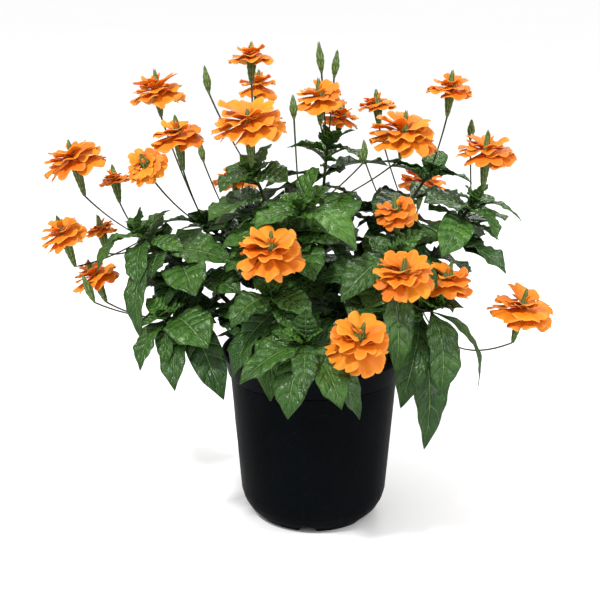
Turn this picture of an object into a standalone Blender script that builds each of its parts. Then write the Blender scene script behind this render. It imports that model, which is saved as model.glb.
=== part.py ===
"""Crossandra in a black nursery pot.

A pot of thin plastic holds potting soil, and seven leafy shoots stand in plain holes in
the soil. Every shoot is one green body: its stem, its leaves, its flower stalks and the
four-angled spikes of bracts. Every open flower head is one orange body, a collar of
corolla tubes with fans of petals, which sits round its spike.
Lengths in the tables are centimetres, everything else is metres.
"""
import math
import random

import bmesh
import bpy
from mathutils import Matrix, Vector
from mathutils.bvhtree import BVHTree

CM = 0.01
UP = Vector((0.0, 0.0, 1.0))

# Pot: an 8 1/4 inch grower pot, outer profile as radius and height
POT_SIDES = 30
POT_OUTER = (
    (6.45, 0.00), (7.60, 1.15), (8.15, 2.05), (8.40, 3.00), (9.55, 17.10), (9.80, 17.25),
    (10.30, 19.40), (10.50, 19.45), (10.50, 19.90),
)
POT_INNER = ((10.12, 19.85), (9.60, 17.30), (9.34, 17.10), (8.20, 3.00), (7.44, 1.30))
POT_FLOOR = 0.30 * CM
DRAIN_HOLES = 6
DRAIN_RADIUS = 1.00 * CM
DRAIN_REACH = (5.6 * CM, 8.6 * CM)
DRAIN_TURN = math.radians(-96.0)

# Soil: its side follows the pot's inner wall, its top is uneven
SOIL_TOP = 17.8 * CM
SOIL_BUMP = 0.16 * CM
SOIL_CLEAR = 0.05 * CM
SOIL_SIDE = ((6.15, 0.35), (7.32, 1.42), (8.10, 3.05), (9.24, 17.10))
SOIL_EDGE = (9.50, 17.5)
SOIL_RINGS = (0.84, 0.46, 0.0)
HOLE_FLOOR = 15.2 * CM
HOLE_RADIUS = 0.44 * CM
STEM_FOOT = 15.3 * CM

# Stems, stalks and blades
TRUNK_RADIUS = (0.32 * CM, 0.26 * CM)
BRANCH_RADIUS = (0.24 * CM, 0.15 * CM)
STALK_RADIUS = 0.095 * CM
STALK_ROOT = 0.07 * CM
STALK_SAG = 0.10
STEM_SIDES = 5
LEAF_THICK = 0.10 * CM
LEAF_STATIONS = (0.15, 0.42, 0.72)
SHOWN_STATIONS = (0.13, 0.33, 0.55, 0.78)
LEAF_ROOT = 0.10 * CM
PETIOLE_HALF = 0.12 * CM
LEAF_FOLD = 0.20
LEAF_WAVE = 0.13
WAVE_TURNS = 2.3
WAVE_SHIFT = 0.35
TEST_CLEAR = 0.06 * CM
OWN_CLEAR = 0.02 * CM

# Spikes of bracts and the fans of petals round them
SPIKE_TIERS = 3
SPIKE_WIDE = 0.60 * CM
SPIKE_NECK = 0.50 * CM
SPIKE_FOOT = 0.18 * CM
SPIKE_END = 0.09 * CM
BUD_BELLY = 0.35
TIER = ((0.0, 0.74), (0.86, 1.0))
BUD_SIZE = 0.85
COLLAR_CLEAR = 0.03 * CM
COLLAR_WALL = 0.19 * CM
COLLAR_HALF = 0.22 * CM
COLLAR = ((0.0, -COLLAR_HALF), (COLLAR_WALL, -0.05 * CM), (COLLAR_WALL, 0.05 * CM),
          (0.0, COLLAR_HALF))
FAN_THICK = 0.11 * CM
FAN_ROOT_TURN = 0.236
FAN_RIM = (
    (-1.00, 0.70, -0.4), (-0.62, 1.00, 0.9), (-0.22, 0.93, -0.8), (0.20, 1.03, 0.8),
    (0.62, 0.98, -0.8), (1.00, 0.72, 0.4),
)
FAN_RUFFLE = 0.075
FAN_PINWHEEL = 0.10
FAN_SAG = 0.10
FAN_FILL = 0.60
FAN_HALF_MOST = 0.92
FAN_HUB = 0.55
HIGH_REACH = (0.72, 0.82)
HIGH_DROOP = (-40, -30)
LOW_REACH = (0.92, 1.0)
LOW_SWAY = (-3, 3)
TURN_SWAY = 0.05

# Shoots: where the stem stands in the soil, and where it forks
SHOOTS = {
    "left": ((-3.2, -0.6), (-8.0, -2.5, 24.5)),
    "rear_left": ((-1.9, 2.3), (-5.0, 5.5, 25.0)),
    "middle": ((-1.2, -1.3), (-3.2, -3.0, 29.0)),
    "front": ((-0.4, -3.8), (-1.2, -8.5, 22.5)),
    "upper": ((0.6, 1.2), (0.8, 4.5, 28.0)),
    "rear_right": ((2.7, 2.7), (6.2, 7.0, 27.0)),
    "right": ((3.1, -1.4), (6.8, -4.2, 24.0)),
}

# Crowns: shoot, bend of its branch, tip of the branch, azimuth of its first pair, pairs
CROWNS = {
    "a": ("left", (-13.5, -4.5, 31.0), (-19.0, -4.0, 34.0), 20, 5),
    "b": ("left", (-11.5, -6.5, 26.5), (-16.0, -9.0, 26.0), 70, 5),
    "c": ("rear_left", (-7.5, 4.5, 30.0), (-12.5, 3.0, 33.5), 35, 5),
    "m": ("rear_left", (-7.0, 9.5, 29.0), (-10.0, 13.5, 31.0), 10, 4),
    "d": ("middle", (-4.5, -2.5, 36.0), (-6.5, -3.0, 40.5), 50, 5),
    "f": ("middle", (-2.6, -5.0, 34.5), (-1.5, -8.0, 37.5), 15, 5),
    "l": ("front", (-3.0, -10.0, 26.5), (-4.5, -11.5, 29.5), 60, 5),
    "k": ("front", (-1.0, -13.0, 24.0), (-1.0, -15.0, 25.5), 0, 4),
    "e": ("upper", (0.8, 3.5, 36.0), (1.5, 3.0, 42.5), 25, 6),
    "n": ("upper", (0.8, 10.5, 27.5), (1.5, 15.0, 27.5), 80, 5),
    "g": ("rear_right", (9.5, 7.5, 33.0), (13.5, 8.0, 38.5), 65, 5),
    "o": ("rear_right", (8.0, 11.0, 27.0), (11.5, 14.0, 29.0), 20, 4),
    "h": ("right", (13.5, -3.0, 32.0), (17.5, -1.0, 37.0), 40, 6),
    "i": ("right", (7.2, -7.0, 29.5), (8.0, -9.0, 33.0), 10, 5),
    "j": ("right", (9.5, -7.0, 26.5), (12.5, -9.0, 27.0), 55, 4),
}

# Leaves that show in front: crown, cm below its tip, leaf tip, half width, arch
SHOWN_LEAVES = (
    ("a", 0.3, (-23.0, -7.5, 31.0), 1.2, 0.45),
    ("a", 0.2, (-18.6, -5.0, 37.4), 1.1, 0.05),
    ("a", 1.0, (-18.6, -8.5, 29.6), 1.4, 0.30),
    ("a", 3.2, (-19.6, -10.0, 24.4), 1.3, 0.45),
    ("b", 0.3, (-18.6, -12.0, 21.4), 1.3, 0.30),
    ("b", 0.4, (-15.4, -12.5, 22.2), 1.0, 0.20),
    ("b", 1.4, (-11.0, -14.5, 24.6), 2.3, 0.25),
    ("b", 2.6, (-14.6, -13.5, 19.6), 1.5, 0.30),
    ("c", 0.4, (-17.6, 0.0, 34.2), 1.4, 0.20),
    ("c", 0.8, (-14.6, -5.0, 31.6), 1.9, 0.25),
    ("c", 1.8, (-9.4, -4.0, 34.6), 1.6, 0.20),
    ("d", 0.3, (-10.0, -6.5, 39.2), 1.7, 0.25),
    ("d", 0.4, (-2.8, -5.5, 40.2), 1.7, 0.28),
    ("f", 0.2, (0.4, -9.5, 42.4), 1.7, 0.10),
    ("f", 0.5, (4.2, -12.5, 34.4), 1.7, 0.40),
    ("f", 1.0, (-6.2, -12.0, 36.6), 1.5, 0.25),
    ("l", 0.3, (-8.6, -14.5, 26.8), 1.7, 0.35),
    ("l", 0.4, (-0.4, -15.5, 28.2), 1.5, 0.25),
    ("l", 1.4, (-2.6, -15.0, 26.8), 1.0, 0.20),
    ("k", 0.6, (-7.6, -19.0, 22.4), 1.6, 0.22),
    ("k", 0.8, (-2.8, -18.4, 18.4), 1.7, 0.35),
    ("k", 0.4, (-1.2, -20.0, 21.6), 1.2, 0.28),
    ("k", 0.9, (2.2, -19.0, 19.6), 1.8, 0.35),
    ("k", 0.2, (-1.0, -15.6, 29.4), 1.2, 0.02),
    ("k", 0.2, (-3.6, -16.8, 26.6), 0.7, 0.10),
    ("b", 3.0, (-9.5, -13.5, 18.6), 1.7, 0.30),
    ("l", 2.4, (-8.6, -12.5, 20.6), 1.6, 0.30),
    ("l", 3.0, (-4.6, -16.0, 19.4), 1.7, 0.32),
    ("k", 1.8, (4.6, -15.5, 17.2), 1.6, 0.30),
    ("i", 3.0, (8.4, -13.0, 21.4), 1.6, 0.32),
    ("j", 1.6, (9.0, -12.8, 17.4), 1.6, 0.30),
    ("j", 0.4, (13.0, -13.5, 19.0), 1.8, 0.35),
    ("j", 0.8, (17.6, -9.0, 18.2), 0.9, 0.45),
    ("j", 2.6, (12.0, -13.5, 13.0), 2.0, 0.25),
    ("h", 0.3, (22.6, -2.5, 35.2), 0.9, 0.30),
    ("h", 0.8, (19.6, -4.5, 33.6), 1.2, 0.35),
    ("h", 1.4, (11.6, -5.0, 37.8), 2.1, 0.20),
    ("h", 2.4, (13.4, -7.5, 32.4), 1.7, 0.30),
    ("g", 0.3, (6.8, 6.0, 40.2), 1.3, 0.15),
    ("g", 0.6, (18.0, 4.5, 38.0), 1.3, 0.25),
    ("i", 0.4, (3.4, -13.5, 29.0), 1.8, 0.35),
    ("i", 0.6, (12.0, -13.0, 29.4), 1.5, 0.30),
    ("e", 0.4, (5.4, -0.5, 41.4), 1.3, 0.25),
    ("e", 0.8, (-3.0, 1.5, 42.6), 1.2, 0.20),
)

# Pairs of leaves down a branch: cm below the tip, length, rise in degrees, half width share
PAIR_LEVELS = (0.5, 1.8, 3.8, 6.2, 8.8, 11.4)
PAIR_LENGTHS = (4.4, 6.2, 7.6, 8.0, 7.6, 7.0)
PAIR_RISES = (38, 14, -2, -12, -18, -22)
PAIR_WIDTHS = (0.26, 0.27, 0.28, 0.27, 0.26, 0.26)
PAIR_ARCH = 0.22
PAIR_JITTER = 14
FORK_ROOM = 2.0
SHARED_LEVEL = 1.6
SHARED_TURN = 50

# Flower heads: crown, cm below its tip, middle of the ring, lean of the spike in x and y,
# reach of the petals, fans below, fans above, droop of the lower fans, spike above, below
HEADS = {
    "bloom_01": ("d", 0.6, (-7.0, 6.0, 52.0), (0.00, 0.05), 2.6, 4, 2, 5, 0.8, 3.0),
    "bloom_02": ("m", 0.4, (-6.5, 14.0, 48.0), (0.05, 0.05), 2.6, 4, 2, 25, 0.9, 3.4),
    "bloom_03": ("c", 0.3, (-17.5, 5.0, 48.5), (-0.12, 0.05), 3.3, 5, 3, 15, 1.5, 3.0),
    "bloom_04": ("c", 0.5, (-14.5, -4.0, 45.0), (-0.12, -0.05), 3.1, 4, 2, 15, 1.3, 4.0),
    "bloom_05": ("c", 0.9, (-17.5, -8.0, 42.5), (-0.30, -0.85), 2.3, 5, 1, 12, 0.7, 3.0),
    "bloom_06": ("d", 0.2, (-7.0, -5.0, 46.5), (-0.06, -0.10), 4.2, 6, 3, 10, 0.7, 5.0),
    "bloom_07": ("a", 0.2, (-26.0, -2.0, 42.0), (-0.25, 0.00), 3.6, 5, 3, 12, 1.4, 4.2),
    "bloom_08": ("a", 0.5, (-22.5, 4.0, 38.5), (-0.20, 0.20), 1.8, 4, 1, 5, 0.7, 2.6),
    "bloom_09": ("a", 0.8, (-27.0, -5.0, 34.5), (-0.28, -0.10), 2.7, 4, 3, 15, 1.3, 4.0),
    "bloom_10": ("a", 1.4, (-24.5, 5.0, 32.5), (-0.25, 0.20), 2.0, 4, 1, 10, 0.8, 2.8),
    "bloom_11": ("b", 0.2, (-24.0, -4.0, 29.5), (-0.40, 0.05), 2.8, 4, 2, 15, 1.0, 3.2),
    "bloom_12": ("m", 0.8, (-9.5, 18.0, 36.0), (0.00, 0.30), 3.0, 4, 2, 15, 1.0, 3.4),
    "bloom_14": ("e", 0.2, (0.5, 0.0, 48.5), (-0.05, -0.10), 2.9, 4, 2, 15, 1.0, 3.2),
    "bloom_15": ("e", 0.6, (3.0, 5.5, 45.5), (0.15, 0.10), 2.3, 4, 1, 20, 0.9, 2.0),
    "bloom_16": ("g", 5.0, (7.5, 12.0, 46.0), (-0.10, 0.10), 2.3, 4, 1, 8, 0.8, 2.8),
    "bloom_17": ("f", 0.5, (9.5, -2.5, 45.0), (0.10, -0.05), 4.0, 6, 3, 15, 1.5, 3.0),
    "bloom_18": ("g", 0.3, (15.0, 3.0, 49.0), (0.08, -0.05), 2.7, 4, 2, 8, 1.0, 3.2),
    "bloom_20": ("h", 0.2, (18.5, -2.0, 43.0), (0.04, -0.05), 3.4, 5, 2, 12, 1.4, 4.6),
    "bloom_21": ("i", 0.3, (8.5, -7.5, 37.5), (-0.10, -0.20), 2.5, 5, 1, 20, 1.0, 2.6),
    "bloom_22": ("o", 0.3, (13.5, 16.5, 36.0), (0.15, 0.20), 3.2, 5, 2, 15, 1.2, 3.6),
    "bloom_25": ("l", 0.2, (-4.5, -14.0, 35.0), (0.02, -0.20), 3.8, 6, 3, 20, 1.2, 3.2),
    "bloom_26": ("j", 0.6, (9.0, -14.0, 32.5), (-0.05, -0.25), 3.5, 6, 3, 22, 0.8, 3.0),
    "bloom_27": ("j", 0.3, (14.0, -9.0, 30.5), (0.15, -0.10), 2.9, 4, 2, 15, 0.8, 1.8),
    "bloom_28": ("j", 1.4, (22.5, -6.0, 26.5), (0.20, -0.05), 3.8, 5, 2, 15, 1.5, 4.2),
    "bloom_29": ("k", 1.2, (4.5, -17.0, 26.5), (0.15, -0.35), 3.7, 6, 3, 28, 1.2, 2.6),
    "bloom_30": ("n", 0.3, (-1.0, 20.0, 30.5), (-0.05, 0.35), 3.0, 4, 2, 15, 1.0, 3.0),
}

# Stalks that hang down before they rise: their bend
STALK_BENDS = {"bloom_28": (14.5, -8.5, 20.4)}

# Spikes still in bud: crown, cm below its tip, foot of the spike, lean, height
BUDS = (
    ("e", 0.3, (0.8, 3.0, 50.6), (-0.10, 0.00), 3.2),
    ("e", 0.5, (2.2, 4.0, 50.0), (0.12, 0.10), 2.8),
    ("h", 0.6, (17.6, 4.5, 43.0), (0.05, 0.10), 2.2),
    ("d", 0.8, (-11.6, 3.0, 48.4), (-0.15, 0.05), 2.8),
    ("f", 0.3, (-2.2, -4.0, 46.6), (-0.05, 0.00), 2.4),
    ("f", 0.7, (5.0, -5.0, 42.0), (0.03, 0.00), 1.8),
    ("b", 0.5, (-23.6, -7.2, 27.4), (-0.35, -0.10), 3.2),
    ("m", 1.2, (-13.5, 18.0, 38.0), (-0.20, 0.20), 2.6),
    ("o", 0.8, (6.5, 18.5, 38.0), (-0.05, 0.25), 2.6),
)

# Colour, roughness
FINISHES = {
    "pot": ((0.012, 0.014, 0.016), 0.42),
    "soil": ((0.045, 0.028, 0.018), 0.95),
    "shoot": ((0.055, 0.165, 0.035), 0.45),
    "bloom": ((1.0, 0.27, 0.015), 0.60),
}


def centimetres(values):
    return Vector(values) * CM


def bezier(start, bend, end, u):
    return start * (1 - u) ** 2 + bend * (2 * u * (1 - u)) + end * u ** 2


def bezier_run(start, bend, end, count):
    return [bezier(start, bend, end, step / count) for step in range(count + 1)]


def frame_along(direction, hint):
    """Three axes with the last one along the direction."""
    along = direction.normalized()
    side = hint.cross(along)
    if side.length < 0.05:
        side = Vector((1.0, 0.0, 0.0)).cross(along)
    side.normalize()
    return side, along.cross(side), along


def skin(rings, foot=None, tip=None, flipped=()):
    """A closed body through rings of points, each end flat or drawn to a point."""
    count = len(rings[0])
    points = [point for ring in rings for point in ring]
    faces = []
    for low in range(0, len(points) - count, count):
        high = low + count
        for step in range(count):
            after = (step + 1) % count
            if step in flipped:
                faces.append((low + step, low + after, high + step))
                faces.append((low + after, high + after, high + step))
            else:
                faces.append((low + step, low + after, high + after))
                faces.append((low + step, high + after, high + step))
    last = len(points) - count
    if tip is None:
        faces.append(tuple(range(last, last + count)))
    else:
        points.append(tip)
        for step in range(count):
            faces.append((last + step, last + (step + 1) % count, len(points) - 1))
    if foot is None:
        faces.append(tuple(reversed(range(count))))
    else:
        points.append(foot)
        for step in range(count):
            faces.append(((step + 1) % count, step, len(points) - 1))
    return points, faces


def tube_rings(points, radii, sides, side=None):
    """Rings along a run of points, turned as little as they can be from the last one back."""
    last = len(points) - 1
    courses = [(points[min(index + 1, last)] - points[max(index - 1, 0)]).normalized()
               for index in range(len(points))]
    if side is None:
        side = frame_along(courses[last], Vector((0.0, 1.0, 0.0)))[0]
    rings = []
    for index in range(last, -1, -1):
        if index < last:
            side = courses[index + 1].rotation_difference(courses[index]) @ side
        other = courses[index].cross(side)
        ring = []
        for step in range(sides):
            turn = math.tau * step / sides
            across = side * math.cos(turn) + other * math.sin(turn)
            ring.append(points[index] + across * radii[index])
        rings.insert(0, ring)
    return rings


def tube(points, radii, sides):
    return skin(tube_rings(points, radii, sides))


def blend(first, last, count):
    return [first + (last - first) * step / (count - 1) for step in range(count)]


def trunk(shoot):
    """A stem from the bottom of its hole in the soil up to the fork."""
    (x, y), fork = SHOOTS[shoot]
    top = Vector((x * CM, y * CM, SOIL_TOP + 0.4 * CM))
    fork = centimetres(fork)
    bend = top.lerp(fork, 0.2)
    bend.z = top.z + 0.6 * (fork.z - top.z)
    foot = Vector((top.x, top.y, STEM_FOOT))
    points = [foot] + bezier_run(top, bend, fork, 3)
    return tube(points, blend(*TRUNK_RADIUS, len(points)), STEM_SIDES)


def branch_curve(crown):
    shoot, bend, tip, _, _ = CROWNS[crown]
    return centimetres(SHOOTS[shoot][1]), centimetres(bend), centimetres(tip)


def branch(crown):
    start, bend, tip = branch_curve(crown)
    points = bezier_run(start, bend, tip, 4)
    return tube(points, blend(*BRANCH_RADIUS, len(points)), STEM_SIDES)


def point_below(crown, below):
    """The point on a branch that lies this far below its tip."""
    start, bend, tip = branch_curve(crown)
    return bezier(start, bend, tip, max(1.0 - below / branch_length(crown), 0.0))


def branch_length(crown):
    """Close to the length of the curve: the mean of its chord and of its two legs."""
    start, bend, tip = branch_curve(crown)
    return ((bend - start).length + (tip - bend).length + (tip - start).length) * 0.5


def stalk_points(start, end, bend=None):
    """A thin stalk leaves the crown outwards and then rises to its spike."""
    if bend is None:
        bend = start.lerp(end, 0.55)
        bend.z -= STALK_SAG * (end - start).length
    return bezier_run(start, bend, end, 3)


def lean_axis(lean):
    return Vector((lean[0], lean[1], 1.0)).normalized()


def spike_width(share, belly):
    """Half the diagonal of a spike, from its foot at 0 to its tip at 1."""
    if share < belly:
        swell = math.sin(share / belly * math.pi / 2)
        return SPIKE_FOOT + (SPIKE_WIDE - SPIKE_FOOT) * swell
    thin = math.cos((share - belly) / (1.0 - belly) * math.pi / 2) ** 0.7
    return SPIKE_END + (SPIKE_NECK - SPIKE_END) * thin


def spike_profile(belly):
    """Level and half diagonal of each ring of a spike, from its foot at 0 to its tip at 1."""
    rows = []
    for tier in range(SPIKE_TIERS):
        for rise, share in TIER:
            level = (tier + rise) / SPIKE_TIERS
            rows.append((level, spike_width(level, belly) * share))
    return rows


def spike(start, foot, axis, height, belly, size=1.0, bend=None):
    """A stalk and its four-angled spike of bracts, in tiers wider at the top than below."""
    side, other, along = frame_along(axis, Vector((0.0, 1.0, 0.0)))
    run = stalk_points(start, foot, bend)
    arriving = (run[-1] - run[-2]).normalized()
    turned_side = along.rotation_difference(arriving) @ side
    rings = tube_rings(run, [STALK_RADIUS] * len(run), 4, turned_side)[1:-1]
    for level, half in spike_profile(belly):
        half *= size
        middle = foot + along * height * level
        rings.append([middle + side * half, middle + other * half,
                      middle - side * half, middle - other * half])
    root = start - (run[1] - run[0]).normalized() * STALK_ROOT
    return skin(rings, root, foot + along * height)


def head_spike(head):
    _, _, middle, lean, _, _, _, _, above, below = HEADS[head]
    axis = lean_axis(lean)
    foot = centimetres(middle) - axis * below * CM
    return foot, axis, (above + below) * CM


def head_belly(head):
    """The level of a head's spike where it is widest, just under the ring of petals."""
    above, below = HEADS[head][8:]
    return below / (above + below)


def collar_radius(head):
    """The inner radius of a head's collar, just clear of the widest of its spike there."""
    _, _, _, _, _, low_count, high_count, _, above, below = HEADS[head]
    height = (above + below) * CM
    rows = spike_profile(head_belly(head)) + [(1.0, 0.0)]
    widest = 0.0
    for step in range(-4, 5):
        level = (below * CM + COLLAR_HALF * step / 4) / height
        for (low, thin), (high, wide) in zip(rows, rows[1:]):
            if low <= level <= high:
                widest = max(widest, thin + (wide - thin) * (level - low) / (high - low))
    open_turn = math.pi / (low_count + high_count) - FAN_ROOT_TURN
    return (widest + COLLAR_CLEAR) / math.cos(open_turn)


def head_fans(head):
    """How the fans of a head stand: turns of root and fan, reach, half angle, droop, twist.

    The roots share one collar. The lower fans spread evenly into a full ring, and the upper
    ones rise over it.
    """
    _, _, _, _, reach, low_count, high_count, droop, _, _ = HEADS[head]
    draw = random.Random(head)
    count = low_count + high_count
    first = draw.uniform(0.0, math.tau)
    is_high = [(step + 1) * high_count // count > step * high_count // count
               for step in range(count)]
    fans = []
    placed = [0, 0]
    for step, high in enumerate(is_high):
        layer = high_count if high else low_count
        roots = [place + 0.5 for place in range(count) if is_high[place] == high]
        shift = sum(roots) / layer / count - 0.5
        sway = draw.uniform(-TURN_SWAY, TURN_SWAY)
        root = first + math.tau * (step + 0.5) / count
        turn = first + math.tau * (shift + (placed[high] + 0.5 + sway) / layer)
        half = min(FAN_FILL * math.tau / layer, FAN_HALF_MOST)
        length = reach * draw.uniform(*(HIGH_REACH if high else LOW_REACH)) * CM
        fall = draw.uniform(*HIGH_DROOP) if high else droop + draw.uniform(*LOW_SWAY)
        fans.append((root, turn, length, half, fall, 0 if high else 1))
        placed[high] += 1
    return fans


def fan_points(middle, axes, row):
    """The ruffled rim of one flower's fan of lobes, and the two faces of its middle."""
    _, turn, reach, half_turn, droop, twist = row
    side, other, along = axes
    fall = math.radians(droop)

    def spoke(angle):
        outward = side * math.cos(angle) + other * math.sin(angle)
        run = outward * math.cos(fall) - along * math.sin(fall)
        return run, run.cross(along.cross(outward))

    rim = []
    for place, share, ruffle in FAN_RIM:
        run, over = spoke(turn + place * half_turn)
        lift = FAN_RUFFLE * ruffle + twist * (FAN_PINWHEEL * place - FAN_SAG * share ** 2)
        rim.append(middle + (run * share + over * lift) * reach)
    run, over = spoke(turn)
    hub = middle + run * (reach * FAN_HUB)
    return rim, hub + over * FAN_THICK * 0.5, hub - over * FAN_THICK * 0.5


def bloom(head):
    """An orange head: a collar of corolla tubes round the spike, and a fan from each."""
    middle = centimetres(HEADS[head][2])
    axes = frame_along(lean_axis(HEADS[head][3]), Vector((0.0, 1.0, 0.0)))
    side, other, along = axes
    inner = collar_radius(head)
    points, faces = [], []
    for row in head_fans(head):
        for turn in (row[0] - FAN_ROOT_TURN, row[0] + FAN_ROOT_TURN):
            outward = side * math.cos(turn) + other * math.sin(turn)
            for wall, height in COLLAR:
                points.append(middle + outward * (inner + wall) + along * height)
    count = len(points)
    for start in range(0, count, 4):
        after = (start + 4) % count
        closed = start % 8 == 4
        for edge in range(4):
            if edge == 1 and not closed:
                continue
            faces.append((start + edge, after + edge, after + (edge + 1) % 4,
                          start + (edge + 1) % 4))
    for index, row in enumerate(head_fans(head)):
        rim, top, bottom = fan_points(middle, axes, row)
        left, right = index * 8, index * 8 + 4
        first = len(points)
        points += rim + [top, bottom]
        upper, lower = first + len(rim), first + len(rim) + 1
        edge = list(range(first, first + len(rim)))
        for start, after in zip([left + 2] + edge, edge + [right + 2]):
            faces.append((start, after, upper))
        for start, after in zip([left + 1] + edge, edge + [right + 1]):
            faces.append((after, start, lower))
        faces.append((right + 2, left + 2, upper))
        faces.append((left + 1, right + 1, lower))
        faces.append((edge[0], left + 2, left + 1))
        faces.append((right + 2, edge[-1], right + 1))
    return points, faces


def leaf_profile(u):
    """Half width of a leaf as a share of its widest, narrow at the stalk and the tip."""
    return u ** 1.3 * (1.0 - u) ** 1.1 / 0.1912


class Leaf:
    """A blade on a curved midrib, folded along it, with waved edges."""

    def __init__(self, base, tip, half, arch, phase, stations=LEAF_STATIONS):
        self.stations = stations
        self.base = base
        self.tip = tip
        self.half = half
        self.phase = phase
        outward = Vector((tip.x, tip.y, 0.0))
        if outward.length > 0.001:
            outward.normalize()
        reference = (UP + outward * 0.45).normalized()
        chord = tip - base
        self.side = chord.cross(reference).normalized()
        lift = self.side.cross(chord).normalized()
        self.bend = base.lerp(tip, 0.45) + lift * arch * chord.length

    def middle(self, u):
        return bezier(self.base, self.bend, self.tip, u)

    def normal(self, u):
        along = (self.bend - self.base) * (1 - u) + (self.tip - self.bend) * u
        return self.side.cross(along.normalized()).normalized()

    def point(self, u, v):
        """A point of the blade: v runs from -1 at one edge to 1 at the other."""
        width = max(self.half * leaf_profile(u), PETIOLE_HALF * (1.0 - u))
        wave = math.sin(math.tau * (WAVE_TURNS * u + self.phase + (WAVE_SHIFT if v > 0 else 0.0)))
        rise = abs(v) * width * LEAF_FOLD + v * v * width * LEAF_WAVE * wave
        return self.middle(u) + self.side * width * v + self.normal(u) * rise


def blade(leaf, rooted=True, clear=0.0):
    """A leaf as a closed blade, or with clearance round it as a test shape."""
    rings = []
    for u in leaf.stations:
        normal = leaf.normal(u)
        thick = normal * (LEAF_THICK * 0.5 * (1.25 - 0.4 * u) + clear)
        left, right, mid = leaf.point(u, -1.0), leaf.point(u, 1.0), leaf.middle(u)
        if clear:
            left -= leaf.side * clear
            right += leaf.side * clear
            spare = normal * clear
            rings.append([left + spare, mid + thick, right + spare,
                          right - spare, mid - thick, left - spare])
        else:
            rings.append([left, mid + thick, right, mid - thick])
    tip = leaf.tip + (leaf.tip - leaf.bend).normalized() * clear
    root = leaf.base - (leaf.bend - leaf.base).normalized() * LEAF_ROOT if rooted else None
    return skin(rings, root, tip, () if clear else (2, 3))


class Space:
    """What already stands in the plant, so that a new leaf is bent clear of it."""

    def __init__(self):
        self.bodies = {}
        self.trees = {}

    def add(self, key, body):
        points, faces = self.bodies.setdefault(key, ([], []))
        start = len(points)
        points.extend(body[0])
        faces.extend(tuple(corner + start for corner in face) for face in body[1])
        self.trees.pop(key, None)

    def tree(self, key):
        if key not in self.trees:
            points, faces = self.bodies[key]
            self.trees[key] = BVHTree.FromPolygons(points, faces, all_triangles=False)
        return self.trees[key]

    def clear_of_others(self, body, own):
        test = BVHTree.FromPolygons(body[0], body[1])
        return all(not test.overlap(self.tree(key)) for key in self.bodies
                   if key not in (own, own + " blades"))

    def clear_of_own(self, body, own):
        test = BVHTree.FromPolygons(body[0], body[1])
        return all(not test.overlap(self.tree(key)) for key in (own, own + " blades")
                   if key in self.bodies)


def turned(base, tip, swing, dip, share):
    """A leaf tip swung round the upright axis at the base, dipped, and drawn in."""
    reach = (tip - base) * share
    reach.rotate(Matrix.Rotation(math.radians(swing), 3, "Z"))
    side = reach.cross(UP)
    if side.length > 1e-6:
        reach.rotate(Matrix.Rotation(math.radians(dip), 3, side.normalized()))
    return base + reach


SHOWN_TRIES = [(swing, dip, share) for share in (1.0, 0.92, 0.82, 0.7)
               for dip in (0, -6, 6, -12, 12, -20) for swing in (0, 5, -5, 10, -10, 18, -18)]
RULED_TRIES = [(swing, dip, share) for share in (1.0, 0.82)
               for dip in (0, -14, 14, -28) for swing in (0, 14, -14, 28, -28, 42, -42)]


def place_leaf(space, row, tries, strict):
    """The first try that is clear of the other pieces, and of its own shoot if it can be."""
    shoot, base, tip, half, arch, phase = row
    stations = LEAF_STATIONS if strict else SHOWN_STATIONS
    fallback = None
    for swing, dip, share in tries:
        reach = turned(base, tip, swing, dip, share)
        leaf = Leaf(base, reach, half * share, arch, phase, stations)
        if not space.clear_of_others(blade(leaf, True, TEST_CLEAR), shoot):
            continue
        if space.clear_of_own(blade(leaf, False, OWN_CLEAR), shoot):
            return leaf
        if fallback is None:
            fallback = leaf
    return None if strict else fallback


def ruled_leaves(crown):
    """Pairs of leaves down a branch, every pair a quarter turn from the one above."""
    shoot, _, _, azimuth, pairs = CROWNS[crown]
    draw = random.Random("leaves " + crown)
    shown = [row for row in SHOWN_LEAVES if row[0] == crown]
    room = branch_length(crown) / CM - FORK_ROOM
    leaves = []
    for level in range(pairs):
        below = PAIR_LEVELS[level]
        for half_turn in (0, 180):
            turn = azimuth + 90 * level + half_turn + draw.uniform(-PAIR_JITTER, PAIR_JITTER)
            length = PAIR_LENGTHS[level] * draw.uniform(0.88, 1.08)
            rise = math.radians(PAIR_RISES[level] + draw.uniform(-8, 8))
            phase = draw.random()
            if below > room or taken(crown, below, turn, shown):
                continue
            flat = Vector((math.cos(math.radians(turn)), math.sin(math.radians(turn)), 0.0))
            base = point_below(crown, below * CM)
            tip = base + (flat * math.cos(rise) + UP * math.sin(rise)) * length * CM
            half = length * PAIR_WIDTHS[level] * CM
            leaves.append((shoot, base, tip, half, PAIR_ARCH, phase))
    return leaves


def taken(crown, below, turn, shown):
    """True where a shown leaf already grows at this height and on this side."""
    for _, level, tip, _, _ in shown:
        base = point_below(crown, level * CM)
        away = centimetres(tip) - base
        angle = math.degrees(math.atan2(away.y, away.x))
        apart = abs((angle - turn + 180) % 360 - 180)
        if abs(level - below) < SHARED_LEVEL and apart < SHARED_TURN:
            return True
    return False


def shown_leaves():
    draw = random.Random("shown")
    leaves = []
    for crown, below, tip, half, arch in SHOWN_LEAVES:
        base = point_below(crown, below * CM)
        leaves.append((CROWNS[crown][0], base, centimetres(tip), half * CM, arch, draw.random()))
    return leaves


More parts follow.
